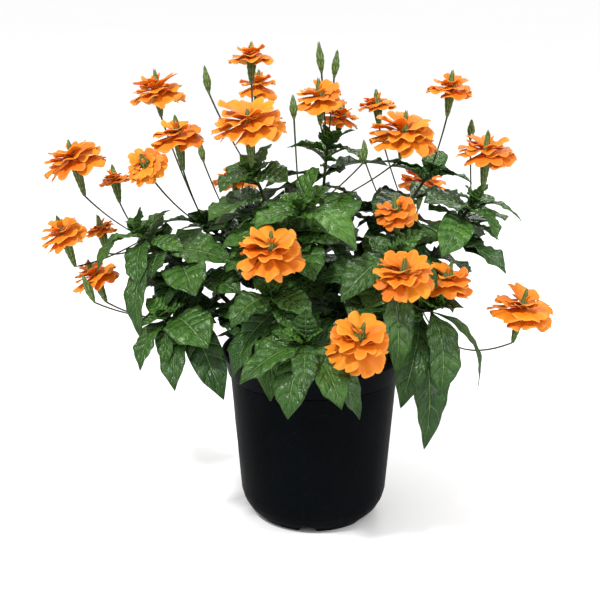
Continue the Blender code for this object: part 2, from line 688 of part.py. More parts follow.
def green_bodies():
    """Stems, branches, stalks and spikes of every shoot."""
    bodies = {shoot: [trunk(shoot)] for shoot in SHOOTS}
    for crown, row in CROWNS.items():
        bodies[row[0]].append(branch(crown))
    for head, row in HEADS.items():
        foot, axis, height = head_spike(head)
        shoot = CROWNS[row[0]][0]
        start = point_below(row[0], row[1] * CM)
        bend = centimetres(STALK_BENDS[head]) if head in STALK_BENDS else None
        bodies[shoot].append(spike(start, foot, axis, height, head_belly(head), 1.0, bend))
    for crown, below, foot, lean, height in BUDS:
        axis = lean_axis(lean)
        foot = centimetres(foot)
        shoot = CROWNS[crown][0]
        start = point_below(crown, below * CM)
        bodies[shoot].append(spike(start, foot, axis, height * CM, BUD_BELLY, BUD_SIZE))
    return bodies


def pot_clearance():
    """The pot's outline, a little larger, for leaves to be bent clear of."""
    rings = []
    for radius, height in POT_OUTER[::2]:
        ring = []
        for step in range(POT_SIDES):
            turn = math.tau * step / POT_SIDES
            across = radius * CM + 0.05 * CM
            ring.append(Vector((across * math.cos(turn), across * math.sin(turn), height * CM)))
        rings.append(ring)
    return skin(rings)


def place_leaves(bodies, blooms):
    """Blades for every shoot, each bent clear of what stands there before it."""
    space = Space()
    space.add("pot", pot_clearance())
    for shoot, parts in bodies.items():
        for body in parts:
            space.add(shoot, body)
    for body in blooms.values():
        space.add("blooms", body)
    queue = [(row, SHOWN_TRIES, False) for row in shown_leaves()]
    for crown in CROWNS:
        queue += [(row, RULED_TRIES, True) for row in ruled_leaves(crown)]
    leaves = {shoot: [] for shoot in SHOOTS}
    for row, tries, strict in queue:
        leaf = place_leaf(space, row, tries, strict)
        if leaf:
            leaves[row[0]].append(leaf)
            space.add(row[0] + " blades", blade(leaf, False))
    return leaves


def clear_scene():
    for item in list(bpy.data.objects):
        bpy.data.objects.remove(item, do_unlink=True)
    for mesh in list(bpy.data.meshes):
        bpy.data.meshes.remove(mesh)


def finish(name):
    colour, roughness = FINISHES[name]
    material = bpy.data.materials.new(name)
    material.use_nodes = True
    shader = material.node_tree.nodes["Principled BSDF"]
    shader.inputs["Base Color"].default_value = (*colour, 1.0)
    shader.inputs["Roughness"].default_value = roughness
    material.diffuse_color = (*colour, 1.0)
    return material


def solid(name, body, material=None):
    mesh = bpy.data.meshes.new(name)
    mesh.from_pydata([tuple(point) for point in body[0]], [], body[1])
    mesh.update()
    if material:
        mesh.materials.append(material)
    item = bpy.data.objects.new(name, mesh)
    bpy.context.scene.collection.objects.link(item)
    return item


def joined(name, bodies, material):
    """One closed solid from overlapping bodies: the first one with the rest united to it."""
    item = solid(name, bodies[0], material)
    group = bpy.data.collections.new(name + " parts")
    bpy.context.scene.collection.children.link(group)
    for index, body in enumerate(bodies[1:]):
        piece = solid(f"{name} part {index}", body)
        bpy.context.scene.collection.objects.unlink(piece)
        group.objects.link(piece)
    union = item.modifiers.new("union", "BOOLEAN")
    union.operation = "UNION"
    union.operand_type = "COLLECTION"
    union.collection = group
    union.solver = "EXACT"
    settled = bpy.context.evaluated_depsgraph_get()
    mesh = bpy.data.meshes.new_from_object(item.evaluated_get(settled))
    item.modifiers.remove(union)
    item.data = mesh
    mesh.name = name
    for piece in list(group.objects):
        bpy.data.objects.remove(piece, do_unlink=True)
    bpy.data.collections.remove(group)
    return item


def turned_solid(name, profile, material):
    """A round piece from a profile of radius and height that starts and ends on the axis."""
    shape = bmesh.new()
    points = [shape.verts.new((radius, 0.0, height)) for radius, height in profile]
    for first, second in zip(points, points[1:]):
        shape.edges.new((first, second))
    bmesh.ops.spin(shape, geom=shape.verts[:] + shape.edges[:], cent=(0, 0, 0), axis=(0, 0, 1),
                   angle=math.tau, steps=POT_SIDES, use_merge=True)
    bmesh.ops.remove_doubles(shape, verts=shape.verts[:], dist=1e-6)
    bmesh.ops.recalc_face_normals(shape, faces=shape.faces[:])
    mesh = bpy.data.meshes.new(name)
    shape.to_mesh(mesh)
    shape.free()
    mesh.materials.append(material)
    item = bpy.data.objects.new(name, mesh)
    bpy.context.scene.collection.objects.link(item)
    return item


def cutter(name, prisms):
    """A hidden tool for a Boolean: upright or level prisms that don't touch."""
    shape = bmesh.new()
    for radius, length, sides, place in prisms:
        bmesh.ops.create_cone(shape, cap_ends=True, segments=sides, radius1=radius,
                              radius2=radius, depth=length, matrix=place)
    mesh = bpy.data.meshes.new(name)
    shape.to_mesh(mesh)
    shape.free()
    item = bpy.data.objects.new(name, mesh)
    item.hide_render = True
    item.display_type = "WIRE"
    bpy.context.scene.collection.objects.link(item)
    return item


def cut(item, tool):
    difference = item.modifiers.new("cut", "BOOLEAN")
    difference.operation = "DIFFERENCE"
    difference.object = tool
    difference.solver = "EXACT"


def build_pot():
    outer = [(radius * CM, height * CM) for radius, height in POT_OUTER]
    inner = [(radius * CM, height * CM) for radius, height in POT_INNER]
    profile = [(0.0, 0.0)] + outer + inner + [(6.3 * CM, POT_FLOOR), (0.0, POT_FLOOR)]
    pot = turned_solid("pot", profile, finish("pot"))
    prisms = []
    near, far = DRAIN_REACH
    for step in range(DRAIN_HOLES):
        turn = DRAIN_TURN + math.tau * step / DRAIN_HOLES
        place = (Matrix.Rotation(turn, 4, "Z") @ Matrix.Translation(((near + far) / 2, 0, 0))
                 @ Matrix.Rotation(math.pi / 2, 4, "Y"))
        prisms.append((DRAIN_RADIUS, far - near, 12, place))
    cut(pot, cutter("drain cutter", prisms))
    return pot


def build_soil():
    side = [(radius * CM, height * CM) for radius, height in SOIL_SIDE]
    top = [(side[-1][0] * share, SOIL_TOP) for share in SOIL_RINGS]
    shoulder = (SOIL_EDGE[0] * CM, SOIL_EDGE[1] * CM)
    profile = [(0.0, POT_FLOOR + SOIL_CLEAR)] + side + [shoulder] + top
    soil = turned_solid("soil", profile, finish("soil"))
    for vertex in soil.data.vertices:
        if vertex.co.z > SOIL_TOP - 0.1 * CM:
            x, y = vertex.co.x / CM, vertex.co.y / CM
            vertex.co.z += SOIL_BUMP * (math.sin(1.7 * x + 0.6) * math.cos(2.1 * y)
                                        + 0.6 * math.sin(3.1 * y - 1.1 * x))
    prisms = []
    for (x, y), _ in SHOOTS.values():
        depth = SOIL_TOP + 1.0 * CM - HOLE_FLOOR
        place = Matrix.Translation((x * CM, y * CM, HOLE_FLOOR + depth / 2))
        prisms.append((HOLE_RADIUS, depth, 6, place))
    cut(soil, cutter("stem hole cutter", prisms))
    return soil


def build_plant():
    bodies = green_bodies()
    blooms = {head: bloom(head) for head in HEADS}
    leaves = place_leaves(bodies, blooms)
    green = finish("shoot")
    orange = finish("bloom")
    for shoot, parts in bodies.items():
        joined("shoot_" + shoot, parts + [blade(leaf) for leaf in leaves[shoot]], green)
    for head, body in blooms.items():
        solid(head, body, orange)


clear_scene()
build_pot()
build_soil()
build_plant()
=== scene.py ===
# %% [markdown]
# # A crossandra in its nursery pot
# This lesson dresses a packed plant: a black pot with potting mix, seven leafy shoots and
# twenty-six orange flower heads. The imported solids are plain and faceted. They fix every place
# and size, so each step below lays a finer piece over one of them and then hides the solid.

# %% Load the frame
import itertools
import math
import random

import bmesh
import bpy
from mathutils import Matrix, Vector, noise
from mathutils.kdtree import KDTree


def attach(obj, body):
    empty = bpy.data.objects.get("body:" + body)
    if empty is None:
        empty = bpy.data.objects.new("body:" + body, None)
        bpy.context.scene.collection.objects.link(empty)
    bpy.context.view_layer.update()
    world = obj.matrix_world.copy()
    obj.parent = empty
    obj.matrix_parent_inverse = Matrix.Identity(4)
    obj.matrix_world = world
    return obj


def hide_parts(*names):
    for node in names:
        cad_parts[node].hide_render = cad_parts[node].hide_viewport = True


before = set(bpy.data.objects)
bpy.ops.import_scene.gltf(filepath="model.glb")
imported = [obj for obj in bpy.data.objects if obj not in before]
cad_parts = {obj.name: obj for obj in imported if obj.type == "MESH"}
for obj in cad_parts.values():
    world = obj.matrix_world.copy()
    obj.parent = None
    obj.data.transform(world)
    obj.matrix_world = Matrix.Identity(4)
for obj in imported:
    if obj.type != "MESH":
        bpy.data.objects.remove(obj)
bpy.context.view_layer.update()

CM = 0.01
EAST, NORTH, UP = Vector((1.0, 0.0, 0.0)), Vector((0.0, 1.0, 0.0)), Vector((0.0, 0.0, 1.0))
print("nodes in the frame:", len(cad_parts))

# %% [markdown]
# ## The plant's layout
# A shoot stands in the soil, forks, and each branch ends in a crown of leaves. Stalks rise from
# the crown to the spikes. The tables below repeat the layout of the solids in centimetres, so
# a leaf, a stalk or a petal made here falls on the one it replaces.

# %% Shoots and crowns
# shoot: where it stands in the soil, where it forks
SHOOTS = {
    "left": ((-3.2, -0.6), (-8, -2.5, 24.5)),
    "rear_left": ((-1.9, 2.3), (-5, 5.5, 25)),
    "middle": ((-1.2, -1.3), (-3.2, -3, 29)),
    "front": ((-0.4, -3.8), (-1.2, -8.5, 22.5)),
    "upper": ((0.6, 1.2), (0.8, 4.5, 28)),
    "rear_right": ((2.7, 2.7), (6.2, 7, 27)),
    "right": ((3.1, -1.4), (6.8, -4.2, 24)),
}

# crown: shoot, bend of its branch, tip of the branch, azimuth of its first pair, pairs
CROWNS = {
    "a": ("left", (-13.5, -4.5, 31), (-19, -4, 34), 20, 5),
    "b": ("left", (-11.5, -6.5, 26.5), (-16, -9, 26), 70, 5),
    "c": ("rear_left", (-7.5, 4.5, 30), (-12.5, 3, 33.5), 35, 5),
    "m": ("rear_left", (-7, 9.5, 29), (-10, 13.5, 31), 10, 4),
    "d": ("middle", (-4.5, -2.5, 36), (-6.5, -3, 40.5), 50, 5),
    "f": ("middle", (-2.6, -5, 34.5), (-1.5, -8, 37.5), 15, 5),
    "l": ("front", (-3, -10, 26.5), (-4.5, -11.5, 29.5), 60, 5),
    "k": ("front", (-1, -13, 24), (-1, -15, 25.5), 0, 4),
    "e": ("upper", (0.8, 3.5, 36), (1.5, 3, 42.5), 25, 6),
    "n": ("upper", (0.8, 10.5, 27.5), (1.5, 15, 27.5), 80, 5),
    "g": ("rear_right", (9.5, 7.5, 33), (13.5, 8, 38.5), 65, 5),
    "o": ("rear_right", (8, 11, 27), (11.5, 14, 29), 20, 4),
    "h": ("right", (13.5, -3, 32), (17.5, -1, 37), 40, 6),
    "i": ("right", (7.2, -7, 29.5), (8, -9, 33), 10, 5),
    "j": ("right", (9.5, -7, 26.5), (12.5, -9, 27), 55, 4),
}
print("shoots", len(SHOOTS), "crowns", len(CROWNS))

# %% Leaves placed one by one
# crown, cm below its tip, leaf tip, half width, arch
SHOWN_LEAVES = (
    ("a", 0.3, (-23, -7.5, 31), 1.2, 0.45),
    ("a", 0.2, (-18.6, -5, 37.4), 1.1, 0.05),
    ("a", 1, (-18.6, -8.5, 29.6), 1.4, 0.3),
    ("a", 3.2, (-19.6, -10, 24.4), 1.3, 0.45),
    ("b", 0.3, (-18.6, -12, 21.4), 1.3, 0.3),
    ("b", 0.4, (-15.4, -12.5, 22.2), 1, 0.2),
    ("b", 1.4, (-11, -14.5, 24.6), 2.3, 0.25),
    ("b", 2.6, (-14.6, -13.5, 19.6), 1.5, 0.3),
    ("c", 0.4, (-17.6, 0, 34.2), 1.4, 0.2),
    ("c", 0.8, (-14.6, -5, 31.6), 1.9, 0.25),
    ("c", 1.8, (-9.4, -4, 34.6), 1.6, 0.2),
    ("d", 0.3, (-10, -6.5, 39.2), 1.7, 0.25),
    ("d", 0.4, (-2.8, -5.5, 40.2), 1.7, 0.28),
    ("f", 0.2, (0.4, -9.5, 42.4), 1.7, 0.1),
    ("f", 0.5, (4.2, -12.5, 34.4), 1.7, 0.4),
    ("f", 1, (-6.2, -12, 36.6), 1.5, 0.25),
    ("l", 0.3, (-8.6, -14.5, 26.8), 1.7, 0.35),
    ("l", 0.4, (-0.4, -15.5, 28.2), 1.5, 0.25),
    ("l", 1.4, (-2.6, -15, 26.8), 1, 0.2),
    ("k", 0.6, (-7.6, -19, 22.4), 1.6, 0.22),
    ("k", 0.8, (-2.8, -18.4, 18.4), 1.7, 0.35),
    ("k", 0.4, (-1.2, -20, 21.6), 1.2, 0.28),
    ("k", 0.9, (2.2, -19, 19.6), 1.8, 0.35),
    ("k", 0.2, (-1, -15.6, 29.4), 1.2, 0.02),
    ("k", 0.2, (-3.6, -16.8, 26.6), 0.7, 0.1),
    ("b", 3, (-9.5, -13.5, 18.6), 1.7, 0.3),
    ("l", 2.4, (-8.6, -12.5, 20.6), 1.6, 0.3),
    ("l", 3, (-4.6, -16, 19.4), 1.7, 0.32),
    ("k", 1.8, (4.6, -15.5, 17.2), 1.6, 0.3),
    ("i", 3, (8.4, -13, 21.4), 1.6, 0.32),
    ("j", 1.6, (9, -12.8, 17.4), 1.6, 0.3),
    ("j", 0.4, (13, -13.5, 19), 1.8, 0.35),
    ("j", 0.8, (17.6, -9, 18.2), 0.9, 0.45),
    ("j", 2.6, (12, -13.5, 13), 2, 0.25),
    ("h", 0.3, (22.6, -2.5, 35.2), 0.9, 0.3),
    ("h", 0.8, (19.6, -4.5, 33.6), 1.2, 0.35),
    ("h", 1.4, (11.6, -5, 37.8), 2.1, 0.2),
    ("h", 2.4, (13.4, -7.5, 32.4), 1.7, 0.3),
    ("g", 0.3, (6.8, 6, 40.2), 1.3, 0.15),
    ("g", 0.6, (18, 4.5, 38), 1.3, 0.25),
    ("i", 0.4, (3.4, -13.5, 29), 1.8, 0.35),
    ("i", 0.6, (12, -13, 29.4), 1.5, 0.3),
    ("e", 0.4, (5.4, -0.5, 41.4), 1.3, 0.25),
    ("e", 0.8, (-3, 1.5, 42.6), 1.2, 0.2),
)
print("leaves placed by hand:", len(SHOWN_LEAVES))

# %% The rule for the other leaves
# pairs down a branch: cm below the tip, length, rise in degrees, half width share
PAIR_LEVELS = (0.5, 1.8, 3.8, 6.2, 8.8, 11.4)
PAIR_LENGTHS = (4.4, 6.2, 7.6, 8.0, 7.6, 7.0)
PAIR_RISES = (38, 14, -2, -12, -18, -22)
PAIR_WIDTHS = (0.26, 0.27, 0.28, 0.27, 0.26, 0.26)
PAIR_ARCH = 0.22
PAIR_JITTER = 14
FORK_ROOM = 2.0
SHARED_LEVEL = 1.6
SHARED_TURN = 50
print("leaves of a pair, in centimetres:", PAIR_LENGTHS)

# %% Flower heads
# crown, cm below its tip, middle of the ring, lean in x and y, reach, fans below, fans above,
# droop of the lower fans, spike above the ring, spike below it
HEADS = {
    "bloom_01": ("d", 0.6, (-7, 6, 52), (0, 0.05), 2.6, 4, 2, 5, 0.8, 3),
    "bloom_02": ("m", 0.4, (-6.5, 14, 48), (0.05, 0.05), 2.6, 4, 2, 25, 0.9, 3.4),
    "bloom_03": ("c", 0.3, (-17.5, 5, 48.5), (-0.12, 0.05), 3.3, 5, 3, 15, 1.5, 3),
    "bloom_04": ("c", 0.5, (-14.5, -4, 45), (-0.12, -0.05), 3.1, 4, 2, 15, 1.3, 4),
    "bloom_05": ("c", 0.9, (-17.5, -8, 42.5), (-0.3, -0.85), 2.3, 5, 1, 12, 0.7, 3),
    "bloom_06": ("d", 0.2, (-7, -5, 46.5), (-0.06, -0.1), 4.2, 6, 3, 10, 0.7, 5),
    "bloom_07": ("a", 0.2, (-26, -2, 42), (-0.25, 0), 3.6, 5, 3, 12, 1.4, 4.2),
    "bloom_08": ("a", 0.5, (-22.5, 4, 38.5), (-0.2, 0.2), 1.8, 4, 1, 5, 0.7, 2.6),
    "bloom_09": ("a", 0.8, (-27, -5, 34.5), (-0.28, -0.1), 2.7, 4, 3, 15, 1.3, 4),
    "bloom_10": ("a", 1.4, (-24.5, 5, 32.5), (-0.25, 0.2), 2, 4, 1, 10, 0.8, 2.8),
    "bloom_11": ("b", 0.2, (-24, -4, 29.5), (-0.4, 0.05), 2.8, 4, 2, 15, 1, 3.2),
    "bloom_12": ("m", 0.8, (-9.5, 18, 36), (0, 0.3), 3, 4, 2, 15, 1, 3.4),
    "bloom_14": ("e", 0.2, (0.5, 0, 48.5), (-0.05, -0.1), 2.9, 4, 2, 15, 1, 3.2),
    "bloom_15": ("e", 0.6, (3, 5.5, 45.5), (0.15, 0.1), 2.3, 4, 1, 20, 0.9, 2),
    "bloom_16": ("g", 5, (7.5, 12, 46), (-0.1, 0.1), 2.3, 4, 1, 8, 0.8, 2.8),
    "bloom_17": ("f", 0.5, (9.5, -2.5, 45), (0.1, -0.05), 4, 6, 3, 15, 1.5, 3),
    "bloom_18": ("g", 0.3, (15, 3, 49), (0.08, -0.05), 2.7, 4, 2, 8, 1, 3.2),
    "bloom_20": ("h", 0.2, (18.5, -2, 43), (0.04, -0.05), 3.4, 5, 2, 12, 1.4, 4.6),
    "bloom_21": ("i", 0.3, (8.5, -7.5, 37.5), (-0.1, -0.2), 2.5, 5, 1, 20, 1, 2.6),
    "bloom_22": ("o", 0.3, (13.5, 16.5, 36), (0.15, 0.2), 3.2, 5, 2, 15, 1.2, 3.6),
    "bloom_25": ("l", 0.2, (-4.5, -14, 35), (0.02, -0.2), 3.8, 6, 3, 20, 1.2, 3.2),
    "bloom_26": ("j", 0.6, (9, -14, 32.5), (-0.05, -0.25), 3.5, 6, 3, 22, 0.8, 3),
    "bloom_27": ("j", 0.3, (14, -9, 30.5), (0.15, -0.1), 2.9, 4, 2, 15, 0.8, 1.8),
    "bloom_28": ("j", 1.4, (22.5, -6, 26.5), (0.2, -0.05), 3.8, 5, 2, 15, 1.5, 4.2),
    "bloom_29": ("k", 1.2, (4.5, -17, 26.5), (0.15, -0.35), 3.7, 6, 3, 28, 1.2, 2.6),
    "bloom_30": ("n", 0.3, (-1, 20, 30.5), (-0.05, 0.35), 3, 4, 2, 15, 1, 3),
}

# a stalk that hangs before it rises, by its bend
STALK_BENDS = {"bloom_28": (14.5, -8.5, 20.4)}
print("heads", len(HEADS))

# %% Spikes still in bud
# crown, cm below its tip, foot of the spike, lean, height
BUDS = (
    ("e", 0.3, (0.8, 3, 50.6), (-0.1, 0), 3.2),
    ("e", 0.5, (2.2, 4, 50), (0.12, 0.1), 2.8),
    ("h", 0.6, (17.6, 4.5, 43), (0.05, 0.1), 2.2),
    ("d", 0.8, (-11.6, 3, 48.4), (-0.15, 0.05), 2.8),
    ("f", 0.3, (-2.2, -4, 46.6), (-0.05, 0), 2.4),
    ("f", 0.7, (5, -5, 42), (0.03, 0), 1.8),
    ("b", 0.5, (-23.6, -7.2, 27.4), (-0.35, -0.1), 3.2),
    ("m", 1.2, (-13.5, 18, 38), (-0.2, 0.2), 2.6),
    ("o", 0.8, (6.5, 18.5, 38), (-0.05, 0.25), 2.6),
)
print("buds", len(BUDS))

# %% [markdown]
# ## Curves that everything hangs on
# Stems, branches and stalks are single bends. A bend with three points, its start, its bend
# and its end, is enough for each, and it is the same curve that the solids follow.

# %% Bends and points on branches
SOIL_TOP = 17.8 * CM
TRUNK_START = SOIL_TOP + 0.4 * CM
TRUNK_LEAN = 0.2
TRUNK_HOLD = 0.6


def centimetres(values):
    return Vector(values) * CM


def clamped(value):
    return min(max(value, 0.0), 1.0)


def bezier(start, bend, end, u):
    return start * (1 - u) ** 2 + bend * (2 * u * (1 - u)) + end * u ** 2


def bezier_run(start, bend, end, count):
    return [bezier(start, bend, end, step / count) for step in range(count + 1)]


def heading(turn, ahead=EAST, beside=NORTH):
    """The direction that is turned from the first axis towards the second."""
    return ahead * math.cos(turn) + beside * math.sin(turn)


def blade_tip(base, turn, rise, length):
    """Where a blade ends that leaves its base at this turn and rise, in degrees."""
    return base + heading(math.radians(rise), heading(math.radians(turn)), UP) * length


def frame_along(direction):
    """Three axes, the last one along the direction."""
    along = direction.normalized()
    side = NORTH.cross(along)
    if side.length < 0.05:
        side = EAST.cross(along)
    side.normalize()
    return side, along.cross(side), along


def trunk_curve(shoot):
    """A stem's bend from just above the soil to its fork, steep at first."""
    (x, y), fork = SHOOTS[shoot]
    top = Vector((x * CM, y * CM, TRUNK_START))
    fork = centimetres(fork)
    bend = top.lerp(fork, TRUNK_LEAN)
    bend.z = top.z + TRUNK_HOLD * (fork.z - top.z)
    return top, bend, fork


def branch_curve(crown):
    shoot, bend, tip, _, _ = CROWNS[crown]
    return centimetres(SHOOTS[shoot][1]), centimetres(bend), centimetres(tip)


def branch_length(crown):
    """Halfway between the chord and the two lines over the bend."""
    start, bend, tip = branch_curve(crown)
    return ((bend - start).length + (tip - bend).length + (tip - start).length) * 0.5


def point_below(crown, below):
    """The point on a branch that lies this many centimetres below its tip."""
    share = 1.0 - below * CM / branch_length(crown)
    return bezier(*branch_curve(crown), max(share, 0.0))


def lean_axis(lean):
    return Vector((*lean, 1.0)).normalized()


print("branch a is", round(branch_length("a") / CM, 1), "cm long")

# %% [markdown]
# ## The leaves' places
# A leaf of this plant is a pointed oval, folded a little along its midrib, with a waved edge.
# In the solids, a leaf that would have crossed another piece was swung, dipped or drawn in.
# Each try has its own tip, and the tip is a corner of the solid, so a search among the solid's
# corners tells which try was kept. That is short, and it can't drift from the solids.

# %% One leaf as a surface
LEAF_FOLD = 0.20
LEAF_WAVE = 0.13
WAVE_TURNS = 2.3
WAVE_SHIFT = 0.35
PETIOLE_HALF = 0.12 * CM
FOOT_SHARE = 0.30
TIP_SHARE = 0.20
TIP_NARROW = 0.50
FACE_OUT = 0.45
ARCH_PLACE = 0.45


def leaf_profile(u):
    """Half width of a leaf as a share of its widest: an oval with a drawn-out tip and foot."""
    oval = (1.0 - abs(2.0 * u - 1.0) ** 2.2) ** 0.75
    foot = min(u / FOOT_SHARE, 1.0) ** 0.6
    tip = TIP_NARROW + (1.0 - TIP_NARROW) * min((1.0 - u) / TIP_SHARE, 1.0)
    return oval * foot * tip


class Leaf:
    """A leaf on a curved midrib: u runs from its foot to its tip, v from edge to edge."""

    def __init__(self, base, tip, half, arch, phase, fresh=0.0):
        self.base = base
        self.tip = tip
        self.half = half
        self.phase = phase
        self.fresh = fresh
        outward = Vector((tip.x, tip.y, 0.0))
        if outward.length > 0.001:
            outward.normalize()
        chord = tip - base
        self.side = chord.cross((UP + outward * FACE_OUT).normalized()).normalized()
        lift = self.side.cross(chord).normalized()
        self.bend = base.lerp(tip, ARCH_PLACE) + lift * arch * chord.length

    def middle(self, u):
        return bezier(self.base, self.bend, self.tip, u)

    def normal(self, u):
        along = (self.bend - self.base) * (1 - u) + (self.tip - self.bend) * u
        return self.side.cross(along.normalized()).normalized()

    def width(self, u):
        return max(self.half * leaf_profile(u), PETIOLE_HALF * (1.0 - u))


print("a leaf is widest at", max(range(100), key=lambda step: leaf_profile(step / 100)), "%")

# %% Where each leaf was tried
# shares of its length, dips and swings in degrees
SHOWN_TRIES = ((1.0, 0.92, 0.82, 0.7), (0, -6, 6, -12, 12, -20), (0, 5, -5, 10, -10, 18, -18))
RULED_TRIES = ((1.0, 0.82), (0, -14, 14, -28), (0, 14, -14, 28, -28, 42, -42))
LENGTH_SWAY = (0.88, 1.08)
RISE_SWAY = (-8, 8)


def turned(base, tip, share, dip, swing):
    """A leaf tip drawn in, swung round the upright axis at the base, and dipped."""
    reach = (tip - base) * share
    reach.rotate(Matrix.Rotation(math.radians(swing), 3, "Z"))
    side = reach.cross(UP)
    if side.length > 1e-6:
        reach.rotate(Matrix.Rotation(math.radians(dip), 3, side.normalized()))
    return base + reach


def taken(crown, below, turn):
    """True where a listed leaf already grows at this height and on this side."""
    for owner, level, tip, _, _ in SHOWN_LEAVES:
        away = centimetres(tip) - point_below(crown, level)
        angle = math.degrees(math.atan2(away.y, away.x))
        apart = abs((angle - turn + 180) % 360 - 180)
        if owner == crown and abs(level - below) < SHARED_LEVEL and apart < SHARED_TURN:
            return True
    return False


def ruled_leaves(crown):
    """Pairs of leaves down a branch, every pair a quarter turn from the one above."""
    shoot, _, _, azimuth, pairs = CROWNS[crown]
    draw = random.Random("leaves " + crown)
    room = branch_length(crown) / CM - FORK_ROOM
    rows = []
    for level, half_turn in itertools.product(range(pairs), (0, 180)):
        below = PAIR_LEVELS[level]
        turn = azimuth + 90 * level + half_turn + draw.uniform(-PAIR_JITTER, PAIR_JITTER)
        length = PAIR_LENGTHS[level] * draw.uniform(*LENGTH_SWAY) * CM
        rise = PAIR_RISES[level] + draw.uniform(*RISE_SWAY)
        phase = draw.random()
        if below <= room and not taken(crown, below, turn):
            base = point_below(crown, below)
            tip = blade_tip(base, turn, rise, length)
            rows.append((shoot, base, tip, length * PAIR_WIDTHS[level], PAIR_ARCH, phase))
    return rows


def shown_leaves():
    draw = random.Random("shown")
    return [(CROWNS[crown][0], point_below(crown, below), centimetres(tip), half * CM, arch,
             draw.random()) for crown, below, tip, half, arch in SHOWN_LEAVES]


print("leaves tried:", len(SHOWN_LEAVES) + sum(len(ruled_leaves(crown)) for crown in CROWNS))

# %% Which try was kept
TIP_MATCH = 0.00003


def corner_search(node):
    """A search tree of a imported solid's corners."""
    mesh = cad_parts[node].data
    tree = KDTree(len(mesh.vertices))
    for vertex in mesh.vertices:
        tree.insert(vertex.co, vertex.index)
    tree.balance()
    return tree


corners = {shoot: corner_search("shoot_" + shoot) for shoot in SHOOTS}
leaves = {shoot: [] for shoot in SHOOTS}


def keep_leaf(tries, shoot, base, tip, half, arch, phase):
    for share, dip, swing in itertools.product(*tries):
        reach = turned(base, tip, share, dip, swing)
        if corners[shoot].find(reach)[2] < TIP_MATCH:
            leaves[shoot].append(Leaf(base, reach, half * share, arch, phase))
            return


for row in shown_leaves():
    keep_leaf(SHOWN_TRIES, *row)
for crown in CROWNS:
    for row in ruled_leaves(crown):
        keep_leaf(RULED_TRIES, *row)
print("leaves:", {shoot: len(found) for shoot, found in leaves.items()})

# %% [markdown]
# ## Small leaves
# The solids carry the large leaves. Between their pairs grow smaller ones, and a tuft of young
# upright leaves closes every crown. Only this dressed plant has them.

# %% Small leaves
# cm below the tip, length, rise in degrees, how many, freshness
EXTRA_ROWS = (
    ((0.0, 0.3), (2.0, 3.2), (28, 62), 4, 0.45),
    ((0.8, 2.2), (3.2, 4.8), (-12, 26), 3, 0.15),
    ((2.4, 5.2), (4.4, 6.2), (-30, 8), 4, 0.0),
    ((5.2, 9.6), (4.8, 6.6), (-34, 4), 5, 0.0),
)
TRUNK_LEAVES = 8
TRUNK_SHARE = (0.35, 1.0)
TRUNK_LENGTH = (4.6, 6.6)
TRUNK_RISE = (-24, 16)
EXTRA_HALF = (0.26, 0.32)
EXTRA_ARCH = (0.10, 0.30)
EXTRA_START = 45.0
LOWEST_TIP = 20.4 * CM
GOLDEN_TURN = 137.5
TURN_JITTER = (-15, 15)


def small_leaf(base, turn, lengths, rises, fresh, draw):
    """A leaf that leaves its stem at this turn, but never dips to the pot's rim."""
    length = draw.uniform(*lengths) * CM
    tip = blade_tip(base, turn, draw.uniform(*rises), length)
    tip.z = max(tip.z, LOWEST_TIP)
    half = length * draw.uniform(*EXTRA_HALF)
    return Leaf(base, tip, half, draw.uniform(*EXTRA_ARCH), draw.random(), fresh)


small_leaves = {shoot: [] for shoot in SHOOTS}
for crown, (shoot, _, _, azimuth, _) in CROWNS.items():
    draw = random.Random("extra " + crown)
    room = branch_length(crown) / CM - 1.0
    turn = azimuth + EXTRA_START
    for levels, lengths, rises, count, fresh in EXTRA_ROWS:
        for _ in range(count):
            turn += GOLDEN_TURN + draw.uniform(*TURN_JITTER)
            base = point_below(crown, min(draw.uniform(*levels), room))
            small_leaves[shoot].append(small_leaf(base, turn, lengths, rises, fresh, draw))
for shoot, found in small_leaves.items():
    draw = random.Random("trunk " + shoot)
    turn = draw.uniform(0, 360)
    for _ in range(TRUNK_LEAVES):
        turn += GOLDEN_TURN
        base = bezier(*trunk_curve(shoot), draw.uniform(*TRUNK_SHARE))
        found.append(small_leaf(base, turn, TRUNK_LENGTH, TRUNK_RISE, 0.0, draw))
print("small leaves:", {shoot: len(found) for shoot, found in small_leaves.items()})

# %% [markdown]
# ## Materials
# Every finish is made of nodes. Leaves, bracts and petals read the piece's own UV map, its
# first axis across the blade and its second along it, because veins follow the blade. Stems,
# plastic, soil and bark read Object coordinates. Three effects have a group each: mottling,
# which gives an uneven tone, side veins, and long ribs.

# %% Small helpers for nodes
def put(tree, socket, value):
    """Sets a socket, or links it when the value comes from another node."""
    if isinstance(value, bpy.types.NodeSocket):
        tree.links.new(value, socket)
    elif socket.type == "RGBA":
        socket.default_value = (*value, 1.0)
    else:
        socket.default_value = value


def add_node(tree, kind, values=None, **settings):
    """A node with its settings, its socket values and its links in one call."""
    made = tree.nodes.new("ShaderNode" + kind)
    for name, value in settings.items():
        setattr(made, name, value)
    for name, value in (values or {}).items():
        put(tree, made.inputs[name], value)
    return made


def math_node(tree, operation, first, second=0.0, third=0.0, clamp=False):
    """A Math node. MULTIPLY_ADD gives the first value times the second, plus the third."""
    return add_node(tree, "Math", {0: first, 1: second, 2: third}, operation=operation,
                    use_clamp=clamp).outputs[0]


def times(tree, first, second):
    return math_node(tree, "MULTIPLY", first, second)


def remap(tree, value, start, end, low=0.0, high=1.0):
    """Stretches the range from start to end over the one from low to high."""
    return add_node(tree, "MapRange", {"Value": value, "From Min": start, "From Max": end,
                                       "To Min": low, "To Max": high}).outputs["Result"]


def mix_colours(tree, share, first, second, blend="MIX"):
    return add_node(tree, "Mix", {0: share, 6: first, 7: second}, data_type="RGBA",
                    blend_type=blend).outputs[2]


